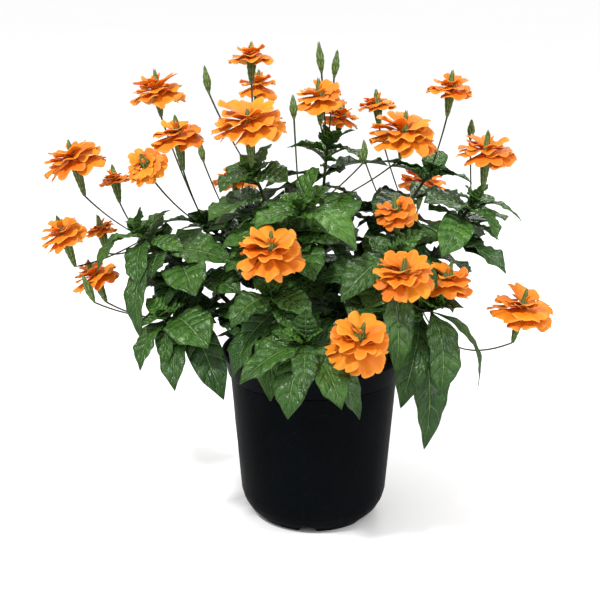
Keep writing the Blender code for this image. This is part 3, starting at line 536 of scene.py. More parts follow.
def ramp(tree, value, stops):
    """Colours between positions."""
    made = add_node(tree, "ValToRGB", {"Fac": value})
    elements = made.color_ramp.elements
    while len(elements) < len(stops):
        elements.new(0.5)
    for element, (position, colour) in zip(elements, stops):
        element.position = position
        element.color = (*colour, 1.0)
    return made.outputs["Color"]


def bump(tree, height, strength, distance):
    return add_node(tree, "Bump", {"Height": height, "Strength": strength,
                                   "Distance": distance}).outputs["Normal"]


def object_place(tree, stretch=None):
    """Object coordinates, if need be stretched along an axis."""
    place = add_node(tree, "TexCoord").outputs["Object"]
    if stretch:
        place = add_node(tree, "Mapping", {"Vector": place, "Scale": stretch}).outputs["Vector"]
    return place


def cloud(tree, scale, detail=2.0, rough=0.5, place=None):
    """Soft noise."""
    return add_node(tree, "TexNoise", {"Vector": place or object_place(tree), "Scale": scale,
                                       "Detail": detail, "Roughness": rough}).outputs["Fac"]


def blade_chart(tree):
    """The UV map of a blade as two sockets: across it, and along it."""
    chart = add_node(tree, "SeparateXYZ", {0: add_node(tree, "UVMap").outputs["UV"]})
    return chart.outputs["X"], chart.outputs["Y"]


def off_middle(tree, across):
    """How far a point lies from the middle of its blade: 0 there and 1 at both edges."""
    return math_node(tree, "ABSOLUTE", math_node(tree, "MULTIPLY_ADD", across, 2.0, -1.0))


def blade_tone(tree):
    return add_node(tree, "Attribute", attribute_name="tone").outputs["Fac"]


def dress(tree, node, **values):
    """Sets or links sockets of a node by their names, written with _ for a space."""
    for label, value in values.items():
        put(tree, node.inputs[label.replace("_", " ")], value)


def new_group(name, inputs, *outputs):
    """A node group with float inputs and outputs."""
    tree = bpy.data.node_groups.new(name, "ShaderNodeTree")
    for label, value in inputs.items():
        socket = tree.interface.new_socket(label, in_out="INPUT", socket_type="NodeSocketFloat")
        socket.default_value = value
    for label in outputs:
        tree.interface.new_socket(label, in_out="OUTPUT", socket_type="NodeSocketFloat")
    return tree, tree.nodes.new("NodeGroupInput").outputs, tree.nodes.new("NodeGroupOutput")


def use_group(tree, group, **values):
    """A group's outputs, after its inputs are set."""
    made = tree.nodes.new("ShaderNodeGroup")
    made.node_tree = bpy.data.node_groups[group]
    dress(tree, made, **values)
    return made.outputs


def new_finish(name, **values):
    """A material, its node tree and its shader, whose constant values are set here."""
    material = bpy.data.materials.new(name)
    material.use_nodes = True
    tree = material.node_tree
    shader = tree.nodes["Principled BSDF"]
    dress(tree, shader, **values)
    return material, tree, shader


print("helpers ready")

# %% Group: mottling, an uneven tone from Object coordinates
tree, given, results = new_group("mottling", {"Scale": 60.0, "Low": 0.35, "High": 0.65}, "Mask")
uneven = cloud(tree, given["Scale"], 4.0, 0.6)
dress(tree, results, Mask=remap(tree, uneven, given["Low"], given["High"]))
print("mottling has", len(tree.nodes), "nodes")


def mottled(tree, scale, low, high):
    return use_group(tree, "mottling", Scale=scale, Low=low, High=high)["Mask"]


# %% Group: side veins, which leave a midrib and sweep towards the tip
VEIN_PAIRS = 7
VEIN_SWEEP = 0.13
VEIN_CURVE = 1.25
VEIN_HALF = 0.22
PUFF_POWER = 0.6
MIDRIB_EDGES = (0.015, 0.07)
BLISTERS_ACROSS = 6.5
BLISTERS_A_TURN = 2.4

tree, given, results = new_group(
    "side veins", {"Pairs": VEIN_PAIRS, "Sweep": VEIN_SWEEP, "Wander": 0.03, "Tone": 0.5},
    "Vein", "Midrib", "Height")
across, along = blade_chart(tree)
away = off_middle(tree, across)
wander = times(tree, cloud(tree, 90.0), given["Wander"])
arched = times(tree, math_node(tree, "POWER", away, VEIN_CURVE), given["Sweep"])
swept = math_node(tree, "ADD", wander, math_node(tree, "SUBTRACT", along, arched))
turns = times(tree, swept, given["Pairs"])
wave = math_node(tree, "ABSOLUTE", math_node(tree, "SINE", times(tree, turns, math.pi)))
rib = remap(tree, away, *MIDRIB_EDGES, 1.0, 0.0)
# between the veins lie small blisters, which differ from leaf to leaf
spot = add_node(tree, "CombineXYZ", {"X": times(tree, away, BLISTERS_ACROSS),
                                     "Y": times(tree, turns, BLISTERS_A_TURN),
                                     "Z": times(tree, given["Tone"], 37.0)}).outputs[0]
blisters = add_node(tree, "TexVoronoi", {"Vector": spot, "Scale": 1.0}, feature="SMOOTH_F1")
dome = math_node(tree, "SUBTRACT", 1.0, blisters.outputs["Distance"], clamp=True)
puff = math_node(tree, "POWER", wave, PUFF_POWER)
pillow = math_node(tree, "MULTIPLY_ADD", puff, 0.55, times(tree, dome, 0.75))
dress(tree, results, Vein=remap(tree, wave, 0.0, VEIN_HALF, 1.0, 0.0), Midrib=rib,
      Height=math_node(tree, "SUBTRACT", pillow, rib, clamp=True))
print("side veins has", len(tree.nodes), "nodes")

# %% Group: long ribs, fine lines from the foot of a blade to its end
tree, given, results = new_group("long ribs", {"Count": 20.0, "Wander": 0.3}, "Rib")
shift = times(tree, cloud(tree, 180.0), given["Wander"])
lines = times(tree, blade_chart(tree)[0], given["Count"])
angle = times(tree, math_node(tree, "ADD", lines, shift), math.tau)
swing = math_node(tree, "SINE", angle)
dress(tree, results, Rib=math_node(tree, "MULTIPLY_ADD", swing, 0.5, 0.5))
print("long ribs has", len(tree.nodes), "nodes")

# %% [markdown]
# ## Finishes of the plant
# Leaves are dark and glossy, with sunken pale veins that break the shine into small glints. Painted
# shade darkens the hollows between their blisters.
# Petals are thin and let a little light through: their orange is redder towards the throat and
# darkened there by painted shade, finely streaked, and pale along the edge. The bracts are green
# with pale margins.

# %% Leaf finish
leaf_finish, tree, shader = new_finish("leaf", IOR=1.50, Specular_IOR_Level=0.65)
tone = blade_tone(tree)
veins = use_group(tree, "side veins", Pairs=VEIN_PAIRS, Sweep=VEIN_SWEEP, Wander=0.03, Tone=tone)
# the tone carries painted light and shade: high leaves and those in front lighter, low and back
# ones darker
dark = mix_colours(tree, tone, (0.008, 0.032, 0.007), (0.046, 0.150, 0.016))
fresh = mix_colours(tree, tone, (0.018, 0.066, 0.010), (0.100, 0.260, 0.024))
flesh = mix_colours(tree, mottled(tree, 55.0, 0.3, 0.7), dark, fresh)
# painted shade: the hollows between the blisters are darkened and the domes kept light
depth = mix_colours(tree, remap(tree, veins["Height"], 0.15, 0.95), (0.40, 0.43, 0.40),
                    (0.96, 0.93, 1.0))
body = mix_colours(tree, 1.0, flesh, depth, "MULTIPLY")
lined = mix_colours(tree, times(tree, veins["Vein"], 0.55), body, (0.11, 0.23, 0.055))
green = mix_colours(tree, times(tree, veins["Midrib"], 0.65), lined, (0.17, 0.31, 0.09))
pucker = cloud(tree, 520.0, 3.0)
crinkle = math_node(tree, "MULTIPLY_ADD", pucker, 0.35, veins["Height"])
dress(tree, shader, Base_Color=green, Roughness=remap(tree, pucker, 0.0, 1.0, 0.10, 0.34),
      Normal=bump(tree, crinkle, 1.0, 0.0030))
print("leaf finish has", len(tree.nodes), "nodes")

# %% Petal finish
petal_finish, tree, shader = new_finish("petal", Roughness=0.55, Specular_IOR_Level=0.30,
                                        Subsurface_Weight=0.15, Subsurface_Scale=0.003,
                                        Subsurface_Radius=(1.0, 0.50, 0.10))
_, along = blade_chart(tree)
warm = mix_colours(tree, mottled(tree, 48.0, 0.38, 0.62), (0.72, 0.220, 0.007),
                   (0.78, 0.295, 0.012))
aged = mix_colours(tree, blade_tone(tree), (0.69, 0.160, 0.007), warm)
# painted shade: the ramp darkens the petal down the tube and into the throat, as well as making it
# redder there
depth = ramp(tree, along, ((0.0, (0.50, 0.22, 0.10)), (0.20, (0.86, 0.55, 0.35)),
                           (0.45, (1.0, 0.92, 0.85)), (1.0, (1.0, 1.0, 1.0))))
deep = mix_colours(tree, 1.0, aged, depth, "MULTIPLY")
rib = use_group(tree, "long ribs", Count=26.0, Wander=0.8)["Rib"]
streak = mix_colours(tree, times(tree, rib, 0.14), deep, (0.76, 0.115, 0.004))
orange = mix_colours(tree, remap(tree, along, 0.93, 0.995, 0.0, 0.45), streak,
                     (0.86, 0.37, 0.075))
dress(tree, shader, Base_Color=orange, Normal=bump(tree, rib, 0.30, 0.0003))
print("petal finish has", len(tree.nodes), "nodes")

# %% Bract finish
bract_finish, tree, shader = new_finish("bract", Roughness=0.50, Specular_IOR_Level=0.25)
flesh = mix_colours(tree, mottled(tree, 90.0, 0.3, 0.7), (0.036, 0.078, 0.012),
                    (0.080, 0.145, 0.024))
rib = use_group(tree, "long ribs", Count=7.0, Wander=0.1)["Rib"]
lined = mix_colours(tree, times(tree, rib, 0.30), flesh, (0.15, 0.22, 0.06))
margin = remap(tree, off_middle(tree, blade_chart(tree)[0]), 0.70, 0.97, 0.0, 0.60)
dress(tree, shader, Base_Color=mix_colours(tree, margin, lined, (0.30, 0.36, 0.14)),
      Normal=bump(tree, rib, 0.4, 0.0004))
print("bract finish has", len(tree.nodes), "nodes")

# %% Stem finish: brown bark near the soil, green and purple-brown higher up
stem_finish, tree, shader = new_finish("stem", Roughness=0.60, Specular_IOR_Level=0.20)
height = add_node(tree, "SeparateXYZ", {0: object_place(tree)}).outputs["Z"]
blotch = mottled(tree, 160.0, 0.35, 0.65)
old = mix_colours(tree, blotch, (0.035, 0.024, 0.014), (0.095, 0.066, 0.040))
young = mix_colours(tree, blotch, (0.016, 0.022, 0.008), (0.050, 0.058, 0.018))
skin = mix_colours(tree, remap(tree, height, 0.19, 0.30), old, young)
fibre = cloud(tree, 1.0, place=object_place(tree, (900.0, 900.0, 90.0)))
dress(tree, shader, Base_Color=skin, Normal=bump(tree, fibre, 0.5, 0.0005))
print("stem finish has", len(tree.nodes), "nodes")

# %% [markdown]
# ## Finishes of the pot and what fills it
# The pot is thin black plastic from a mould: a fine grain, a soft shine, faint dust, and
# scuffs. The mix is dark peat with pieces of bark.

# %% Pot finish
pot_finish, tree, shader = new_finish("pot plastic", IOR=1.12, Specular_IOR_Level=0.50)
film = times(tree, mottled(tree, 9.0, 0.35, 0.75), 0.5)
black = mix_colours(tree, film, (0.0016, 0.0024, 0.0034), (0.0042, 0.0052, 0.0066))
dust = times(tree, mottled(tree, 260.0, 0.60, 0.80), 0.10)
scuff = cloud(tree, 1.0, 3.0, place=object_place(tree, (130.0, 130.0, 5.0)))
relief = math_node(tree, "MULTIPLY_ADD", scuff, 0.8, cloud(tree, 1500.0))
dress(tree, shader, Base_Color=mix_colours(tree, dust, black, (0.07, 0.065, 0.055)),
      Roughness=remap(tree, scuff, 0.3, 0.7, 0.26, 0.38),
      Normal=bump(tree, relief, 0.22, 0.0004))
print("pot finish has", len(tree.nodes), "nodes")

# %% Potting mix and bark finishes
mix_finish, tree, shader = new_finish("potting mix", Roughness=0.95, Specular_IOR_Level=0.2)
crumb = add_node(tree, "TexVoronoi", {"Vector": object_place(tree), "Scale": 420.0})
crumb = crumb.outputs["Distance"]
peat = mix_colours(tree, mottled(tree, 120.0, 0.3, 0.7), (0.020, 0.012, 0.008),
                   (0.075, 0.045, 0.026))
dress(tree, shader, Base_Color=mix_colours(tree, crumb, peat, (0.030, 0.020, 0.014)),
      Normal=bump(tree, crumb, 0.9, 0.002))

bark_finish, tree, shader = new_finish("bark", Roughness=0.9, Specular_IOR_Level=0.25)
layers = cloud(tree, 330.0, 5.0)
brown = mix_colours(tree, blade_tone(tree), (0.050, 0.028, 0.016), (0.190, 0.105, 0.055))
dress(tree, shader, Base_Color=mix_colours(tree, layers, brown, (0.035, 0.022, 0.014)),
      Normal=bump(tree, layers, 0.8, 0.001))
print("finishes:", [item.name for item in bpy.data.materials][-7:])

# %% [markdown]
# ## From a bmesh to a piece
# A finished piece is one object at the origin with its place in its mesh. It rides on the
# plant's one body, and the solid it stands for is hidden.

# %% Finish a piece
def show(name, data):
    """A new object in the scene: a mesh, a light or a camera."""
    made = bpy.data.objects.new(name, data)
    bpy.context.scene.collection.objects.link(made)
    return made


def show_shape(shape, name, *finishes):
    mesh = bpy.data.meshes.new(name)
    shape.to_mesh(mesh)
    shape.free()
    for finish in finishes:
        mesh.materials.append(finish)
    return show(name, mesh)


def finish_piece(shape, name, finish, slot, *nodes, wall=0.0, outward=False):
    if outward:
        bmesh.ops.recalc_face_normals(shape, faces=shape.faces[:])
    piece = show_shape(shape, name, finish)
    piece.data.shade_smooth()
    if wall:
        skin = piece.modifiers.new("wall", "SOLIDIFY")
        skin.thickness = wall
        skin.offset = 0.0
    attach(piece, "root")
    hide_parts(*nodes)
    return piece


def finish_shoot(shape, part, shoot, finish, **how):
    print(shoot, part, len(shape.faces), "faces")
    finish_piece(shape, part + "_" + shoot, finish, "shoot", "shoot_" + shoot, **how)


def new_shape():
    """An empty bmesh with a UV map and a tone for each point."""
    shape = bmesh.new()
    shape.loops.layers.uv.new("UVMap")
    shape.verts.layers.float.new("tone")
    return shape


def set_tone(shape, points, tone):
    shade = shape.verts.layers.float["tone"]
    for point in points:
        point[shade] = tone


def lay_grid(shape, across, along, place, tone=0.5):
    """A grid whose points move to place(u, v): v from -1 to 1 across, u from 0 to 1 along."""
    chart = shape.loops.layers.uv["UVMap"]
    made = bmesh.ops.create_grid(shape, x_segments=across, y_segments=along, size=1.0)
    points = made["verts"]
    for face in {face for point in points for face in point.link_faces}:
        for loop in face.loops:
            loop[chart].uv = (loop.vert.co.x * 0.5 + 0.5, loop.vert.co.y * 0.5 + 0.5)
    for point in points:
        point.co = place(point.co.y * 0.5 + 0.5, point.co.x)
    set_tone(shape, points, tone)
    return points


test = new_shape()
lay_grid(test, 4, 6, lambda u, v: Vector((v, u, 0.0)))
print("a 4 by 6 grid has", len(test.faces), "faces")
test.free()

# %% [markdown]
# ## Leaves
# Each leaf is a grid laid on its curved midrib. Between its side veins the blade puffs up like
# a quilt, its edge waves, and its tip is drawn out. A Solidify modifier gives the thickness.

# %% Quilted leaf
LEAF_GRID = (10, 30)
SMALL_GRID = (6, 14)
LEAF_WALL = 0.0006
LEAF_BROAD = 1.08
QUILT = 0.0012
QUILT_FULL_WIDTH = 1.2 * CM
QUILT_FROM_MIDRIB = 5.0
FRILL = 0.07
FRILL_RATE = 2.7
FRILL_SHIFT = 0.3
TONE_FOOT = 25.0 * CM
TONE_HEIGHT = 18.0 * CM
TONE_DEPTH = 24.0 * CM
# painted light and shade: how much lighter a leaf's tone gets high up and in front
PAINTED_HEIGHT_LIGHT = 0.40
PAINTED_FRONT_LIGHT = 0.35
TONE_SWAY = (-0.22, 0.30)


def leaf_point(leaf, u, v):
    width = leaf.width(u) * LEAF_BROAD
    turn = WAVE_TURNS * u + leaf.phase + (WAVE_SHIFT if v > 0 else 0.0)
    wave = v * v * LEAF_WAVE * math.sin(math.tau * turn)
    frill = v ** 4 * FRILL * math.sin(math.tau * (FRILL_RATE * turn + FRILL_SHIFT))
    lift = width * (abs(v) ** 1.2 * LEAF_FOLD + wave + frill)
    swept = u - VEIN_SWEEP * abs(v) ** VEIN_CURVE
    puff = abs(math.sin(math.pi * VEIN_PAIRS * swept)) ** PUFF_POWER
    room = min(width / QUILT_FULL_WIDTH, 1.0) * (1.0 - v ** 4)
    lift += QUILT * puff * room * min(abs(v) * QUILT_FROM_MIDRIB, 1.0)
    return leaf.middle(u) + leaf.side * width * v + leaf.normal(u) * lift


def leaf_tone(leaf, draw):
    """Painted light and shade: high leaves and leaves in front get a lighter tone, low ones and
    those at the back a darker one.
    """
    height = clamped((leaf.base.z - TONE_FOOT) / TONE_HEIGHT)
    front = clamped(0.5 - leaf.base.y / TONE_DEPTH)
    light = leaf.fresh + PAINTED_HEIGHT_LIGHT * height + PAINTED_FRONT_LIGHT * front
    return clamped(light + draw.uniform(*TONE_SWAY))


draw = random.Random("leaf tones")
for shoot in SHOOTS:
    shape = new_shape()
    for grid, found in ((LEAF_GRID, leaves[shoot]), (SMALL_GRID, small_leaves[shoot])):
        for leaf in found:
            lay_grid(shape, *grid, lambda u, v: leaf_point(leaf, u, v), leaf_tone(leaf, draw))
    finish_shoot(shape, "leaves", shoot, leaf_finish, wall=LEAF_WALL)

# %% [markdown]
# ## Stems, branches and stalks
# A stem is a ring of edges, extruded from point to point along its bend, and turned and
# resized on the way. Extruding keeps one skin without seams.

# %% A rod along a run of points
KNOT = 1.22
KNOT_SPACING = 4
STALK_SAG = 0.10
STALK_SAG_PLACE = 0.55
STALK_STEPS = 14


def rod(shape, points, radii, sides):
    course = (points[1] - points[0]).normalized()
    start = Matrix.Translation(points[0]) @ course.to_track_quat("Z", "Y").to_matrix().to_4x4()
    made = bmesh.ops.create_circle(shape, cap_ends=True, segments=sides, radius=radii[0],
                                   matrix=start)
    edges = list({edge for point in made["verts"] for edge in point.link_edges})
    for index in range(1, len(points)):
        after = (points[min(index + 1, len(points) - 1)] - points[index - 1]).normalized()
        turn = course.rotation_difference(after).to_matrix().to_4x4()
        size = Matrix.Scale(radii[index] / radii[index - 1], 4)
        back = Matrix.Translation(-points[index - 1])
        made = bmesh.ops.extrude_edge_only(shape, edges=edges)["geom"]
        edges = [part for part in made if isinstance(part, bmesh.types.BMEdge)]
        bmesh.ops.transform(shape, matrix=Matrix.Translation(points[index]) @ turn @ size @ back,
                            verts=[part for part in made if isinstance(part, bmesh.types.BMVert)])
        course = after
    bmesh.ops.edgeloop_fill(shape, edges=edges)


def taper(radii, count):
    return [radii[0] + (radii[1] - radii[0]) * step / (count - 1) for step in range(count)]


def knotted(radii):
    """Radii with a small swelling at every joint of the stem."""
    return [radius * (KNOT if step % KNOT_SPACING == KNOT_SPACING - 1 else 1.0)
            for step, radius in enumerate(radii)]


def stalk_points(start, end, bend=None):
    """A stalk's own bend, or else one that sags a little."""
    if bend is None:
        bend = start.lerp(end, STALK_SAG_PLACE)
        bend.z -= STALK_SAG * (end - start).length
    return bezier_run(start, bend, end, STALK_STEPS)


print("a joint swells a stem to", KNOT, "times its radius")

# %% Every spike
# its shoot, where its stalk starts, its foot, its axis, its height, how far the ring of
# flowers stands above its foot in centimetres, and its stalk's bend
spikes = []
for head, (crown, below, ring, lean, _, _, _, _, above, under) in HEADS.items():
    axis = lean_axis(lean)
    bend = centimetres(STALK_BENDS[head]) if head in STALK_BENDS else None
    spikes.append((CROWNS[crown][0], point_below(crown, below),
                   centimetres(ring) - axis * under * CM, axis, (above + under) * CM, under, bend))
for crown, below, foot, lean, height in BUDS:
    spikes.append((CROWNS[crown][0], point_below(crown, below), centimetres(foot),
                   lean_axis(lean), height * CM, None, None))
print("spikes:", len(spikes))

# %% Stems of each shoot
TRUNK_RADIUS, TRUNK_STEPS, TRUNK_SIDES = (0.34 * CM, 0.27 * CM), 12, 12
BRANCH_RADIUS, BRANCH_STEPS, BRANCH_SIDES = (0.25 * CM, 0.15 * CM), 18, 10
STALK_RADIUS, STALK_SIDES = (0.075 * CM, 0.105 * CM), 8
STEM_FOOT = 16.8 * CM
STALK_INSIDE = 0.3

for shoot in SHOOTS:
    shape = new_shape()
    curve = trunk_curve(shoot)
    run = [Vector((*curve[0].xy, STEM_FOOT))] + bezier_run(*curve, TRUNK_STEPS)
    rod(shape, run, knotted(taper(TRUNK_RADIUS, len(run))), TRUNK_SIDES)
    for crown, row in CROWNS.items():
        if row[0] == shoot:
            run = bezier_run(*branch_curve(crown), BRANCH_STEPS)
            rod(shape, run, knotted(taper(BRANCH_RADIUS, len(run))), BRANCH_SIDES)
    for owner, start, foot, axis, height, _, bend in spikes:
        if owner == shoot:
            run = stalk_points(start, foot, bend) + [foot + axis * height * STALK_INSIDE]
            rod(shape, run, taper(STALK_RADIUS, len(run)), STALK_SIDES)
    finish_shoot(shape, "stems", shoot, stem_finish, outward=True)

# %% [markdown]
# ## Spikes of bracts
# A spike is four-sided, because its bracts stand in crossed pairs like the plaits of an ear of
# wheat. Each bract is a small keeled grid that clasps the spike and ends in a point.

# %% One bract, and a spike of them
BRACT_STEP = 0.34 * CM
BRACT_LENGTH = 1.30 * CM
BRACT_LENGTH_SHARE = 0.40
BRACT_LENGTH_SWAY = (0.92, 1.08)
BRACT_SHORTEST = 0.60
BRACT_TURN_SWAY = (-0.08, 0.08)
BRACT_LEAN = (0.02, 0.09)
BRACT_WALL = 0.0004
BRACT_GRID = (4, 6)
FEWEST_ROWS = 5
LAST_ROW = 0.86
KEEL = 0.75
TIP_CLOSING = 0.75
FOOT_GIRTH = 0.42
TIP_GIRTH = 0.26


def spike_girth(share, belly, bulge):
    """How far a spike's bracts stand out: narrow at its foot, widest at its belly, then thin."""
    if share < belly:
        swell = math.sin(share / belly * math.pi / 2) ** 0.9
        return bulge * (FOOT_GIRTH + (1.0 - FOOT_GIRTH) * swell)
    fall = max((1.0 - share) / (1.0 - belly), 0.0)
    return bulge * (TIP_GIRTH + (1.0 - TIP_GIRTH) * fall ** 1.5)


def lay_bracts(shape, foot, axis, height, belly, bulge, draw):
    side, other, along = frame_along(axis)
    count = max(int(height / BRACT_STEP), FEWEST_ROWS)
    for step, half_turn in itertools.product(range(count), (0.0, math.pi)):
        level = step / count * LAST_ROW
        closing = level ** 2
        turn = (step % 2) * math.pi / 2 + half_turn + draw.uniform(*BRACT_TURN_SWAY)
        outward = heading(turn, side, other)
        across = along.cross(outward)
        girth = spike_girth(level, belly, bulge)
        length = min(BRACT_LENGTH, height * BRACT_LENGTH_SHARE) * draw.uniform(*BRACT_LENGTH_SWAY)
        length *= BRACT_SHORTEST + (1.0 - BRACT_SHORTEST) * min(girth / bulge * 1.2, 1.0)
        lean = draw.uniform(*BRACT_LEAN) * CM * (1.0 - closing)

        def place(u, v):
            # a bract is broad at its foot, closes to a point and leans out before it
            wide = math.sin(math.pi * (0.16 + 0.84 * u) ** 0.9) ** 0.8 * girth
            away = girth * (0.55 + 0.45 * math.sin(math.pi * min(u * 1.1, 1.0)) ** 0.8)
            away *= 1.0 - TIP_CLOSING * closing * u
            away += lean * u * u - abs(v) ** 1.6 * wide * KEEL
            return foot + along * (level * height + length * u) + outward * away + across * v * wide

        lay_grid(shape, *BRACT_GRID, place, draw.random())


BUD_BELLY = 0.35
HEAD_BELLY = 0.80
TIP_RISE = 0.90 * CM
HEAD_BULGE = 0.56 * CM
BUD_BULGE = 0.44 * CM
draw = random.Random("bracts")
for shoot in SHOOTS:
    shape = new_shape()
    for owner, _, foot, axis, height, under, _ in spikes:
        if owner == shoot and under:
            tall = height + TIP_RISE
            belly = HEAD_BELLY * under * CM / tall
            lay_bracts(shape, foot, axis, tall, belly, HEAD_BULGE, draw)
        elif owner == shoot:
            lay_bracts(shape, foot, axis, height, BUD_BELLY, BUD_BULGE, draw)
    finish_shoot(shape, "bracts", shoot, bract_finish, wall=BRACT_WALL)

# %% [markdown]
# ## Flower heads
# A head is a ring of separate flowers. Each one has a thin tube that comes out between the
# bracts and opens on one side into a fan of three joined lobes with a waved edge. A grid can
# make all of it: its first rows are rolled into the tube and the rest is spread as the fan.

# %% Where the flowers of a head stand
FAN_FILL = 0.60
FAN_HALF_MOST = 0.92
LOW_CURL = 0.14
HIGH_CURL = 0.15
SPREAD = 1.07
TURN_SWAY = 0.05
HIGH_REACH = (0.72, 0.82)
HIGH_DROOP = (-40, -30)
LOW_REACH = (0.92, 1.0)
LOW_SWAY = (-3, 3)


def half_angle(count):
    """Half of what one fan spans in a ring of this many."""
    return min(FAN_FILL * math.tau / count, FAN_HALF_MOST)


def head_fans(head):
    """How the flowers of a head stand: turns of root and fan, reach, half angle, droop, curl.

    The lower flowers spread evenly into a full ring, and the upper ones rise over it.
    """
    _, _, _, _, reach, low_count, high_count, droop, _, _ = HEADS[head]
    draw = random.Random(head)
    count = low_count + high_count
    first = draw.uniform(0.0, math.tau)
    is_high = [(step + 1) * high_count // count > step * high_count // count
               for step in range(count)]
    fans = []
    placed = [0, 0]
    for step, high in enumerate(is_high):
        layer = high_count if high else low_count
        roots = [place + 0.5 for place in range(count) if is_high[place] == high]
        shift = sum(roots) / layer / count - 0.5
        sway = draw.uniform(-TURN_SWAY, TURN_SWAY)
        root = first + math.tau * (step + 0.5) / count
        turn = first + math.tau * (shift + (placed[high] + 0.5 + sway) / layer)
        length = reach * draw.uniform(*(HIGH_REACH if high else LOW_REACH)) * CM * SPREAD
        fall = draw.uniform(*HIGH_DROOP) if high else droop + draw.uniform(*LOW_SWAY)
        curl = HIGH_CURL if high else LOW_CURL
        fans.append((root, turn, length, half_angle(layer), fall, curl))
        placed[high] += 1
    return fans


print("bloom_06 has", len(head_fans("bloom_06")), "flowers")

# %% One flower
FLOWER_GRID = (24, 10)
PETAL_WALL = 0.0004
LOBES = 3
LOBE_LENGTHS = (0.93, 1.05)
NOTCHES = (0.09, 0.22)
RUFFLES = (0.04, 0.09)
RUFFLE_RATE = 1.3
DOME = 0.055
SHORT_SIDES = 0.16
OVERLAP = 1.16
PINWHEEL = 0.13
ROOT_HOLD = 0.35
THROAT = 0.52 * CM
TUBE_SHARE = 0.18
TUBE_RADIUS = 0.13 * CM
TUBE_NARROW = 0.35
TUBE_WRAP = 2.75
TUBE_INWARD = 0.46 * CM
TUBE_DEPTH = 1.1 * CM
OPENING = 0.22


def lay_flower(shape, middle, axes, row, draw):
    root, turn, reach, half_turn, droop, curl = row
    side, other, along = axes
    fall = math.radians(droop)
    lengths = [draw.uniform(*LOBE_LENGTHS) for _ in range(LOBES)]
    notches = [draw.uniform(*NOTCHES) for _ in range(LOBES)]
    phase = draw.random()
    ruffle = draw.uniform(*RUFFLES)

    def fan(u, v):
        """Lobes with rounded ends, notches between them, and a waved edge."""
        lobe = min(int((v + 1.0) * 0.5 * LOBES), LOBES - 1)
        bay = abs(2.0 * ((v + 1.0) * 0.5 * LOBES - lobe) - 1.0)
        share = lengths[lobe] * (1.0 - notches[lobe] * bay ** 4) * (1.0 - SHORT_SIDES * v ** 4)
        radius = THROAT + (reach * share - THROAT) * u
        swung = turn - root + v * half_turn * OVERLAP
        outward = heading(root + swung * (ROOT_HOLD + (1.0 - ROOT_HOLD) * u ** 0.5), side, other)
        run = heading(-fall, outward, along)
        over = run.cross(along.cross(outward))
        part = radius / reach
        lift = PINWHEEL * v * part - curl * part ** 2.4 + DOME * u * (1.0 - bay ** 2)
        lift += ruffle * u * u * math.sin(math.tau * (RUFFLE_RATE * v + phase))
        return middle + run * radius + over * reach * lift

    def tube(v, sink):
        """A ring: sink is 1 at the tube's foot deep in the bracts and 0 at the throat."""
        outward = heading(root, side, other)
        centre = middle + outward * (THROAT - TUBE_INWARD * sink) - along * TUBE_DEPTH * sink
        ring = heading(v * TUBE_WRAP, outward, along.cross(outward))
        return centre + ring * TUBE_RADIUS * (1.0 - TUBE_NARROW * sink)

    def place(u, v):
        if u < TUBE_SHARE:
            return tube(v, 1.0 - u / TUBE_SHARE)
        part = (u - TUBE_SHARE) / (1.0 - TUBE_SHARE)
        ease = min(part / OPENING, 1.0)
        return tube(v, 0.0).lerp(fan(part, v), ease * ease * (3.0 - 2.0 * ease))

    lay_grid(shape, *FLOWER_GRID, place, draw.random())


print("a flower has", LOBES, "lobes")

# %% A flower still rolled up
ROLLS = 2
ROLL_GRID = (8, 6)
ROLL_LENGTH = (0.9, 1.3)
ROLL_RADIUS = 0.17 * CM
ROLL_LEAN = (0.1, 0.7)
ROLL_START = 0.4


def lay_roll(shape, middle, axes, rise, draw):
    """A young flower beside the tip of the spike: a closed, bent roll."""
    side, other, along = axes
    outward = heading(draw.uniform(0.0, math.tau), side, other)
    across = along.cross(outward)
    length = draw.uniform(*ROLL_LENGTH) * CM
    lean = draw.uniform(*ROLL_LEAN)

    def place(u, v):
        girth = ROLL_RADIUS * math.sin(math.pi * (0.10 + 0.88 * u) ** 1.3) ** 0.6
        away = ROLL_RADIUS + lean * length * u * u
        ring = heading(math.pi * v, outward, across)
        return middle + along * (rise + length * u) + outward * away + ring * girth

    points = lay_grid(shape, *ROLL_GRID, place, draw.random())
    bmesh.ops.remove_doubles(shape, verts=points, dist=1e-6)


print("rolled flowers in a head:", ROLLS)

# %% Every head
# reach as a share of the head's, droop, curl of the flowers that the solids leave out
MIDDLE_LAYER = ((0.80, 0.92), (-16, -4), 0.18)
UPPER_LAYER = ((0.52, 0.64), (-34, -20), 0.12)
UPPER_COUNT = 2
LAYER_SWAY = (-0.08, 0.08)
SHORTEST = 1.3


def layer_fans(reach, count, layer, draw):
    """A ring of more flowers: the head's own reach, how many, and how the layer stands."""
    shares, falls, curl = layer
    first = draw.uniform(0.0, math.tau)
    rows = []
    for step in range(count):
        turn = first + math.tau * (step + draw.uniform(*LAYER_SWAY)) / count
        length = max(reach * draw.uniform(*shares), SHORTEST) * CM
        rows.append((turn, turn, length, half_angle(count), draw.uniform(*falls), curl))
    return rows


for head, (_, _, ring, lean, reach, low_count, _, _, above, _) in HEADS.items():
    shape = new_shape()
    draw = random.Random("petals " + head)
    axes = frame_along(lean_axis(lean))
    middle = centimetres(ring)
    fans = head_fans(head) + layer_fans(reach, low_count, MIDDLE_LAYER, draw)
    fans += layer_fans(reach, UPPER_COUNT, UPPER_LAYER, draw)
    for fan in fans:
        lay_flower(shape, middle, axes, fan, draw)
    for _ in range(ROLLS):
        lay_roll(shape, middle, axes, above * ROLL_START * CM, draw)
    finish_piece(shape, head.replace("bloom", "petals"), petal_finish, "bloom", head,
                 wall=PETAL_WALL)
print("heads made:", len(HEADS))

# %% [markdown]
# ## The pot
# The pot is thin plastic from a mould, so it is one profile spun round its axis: a chamfered
# foot, a long drafted wall, a step, a flared collar and a rolled rim. The drain notches are
# cut through the corner of the foot, where the real ones are.

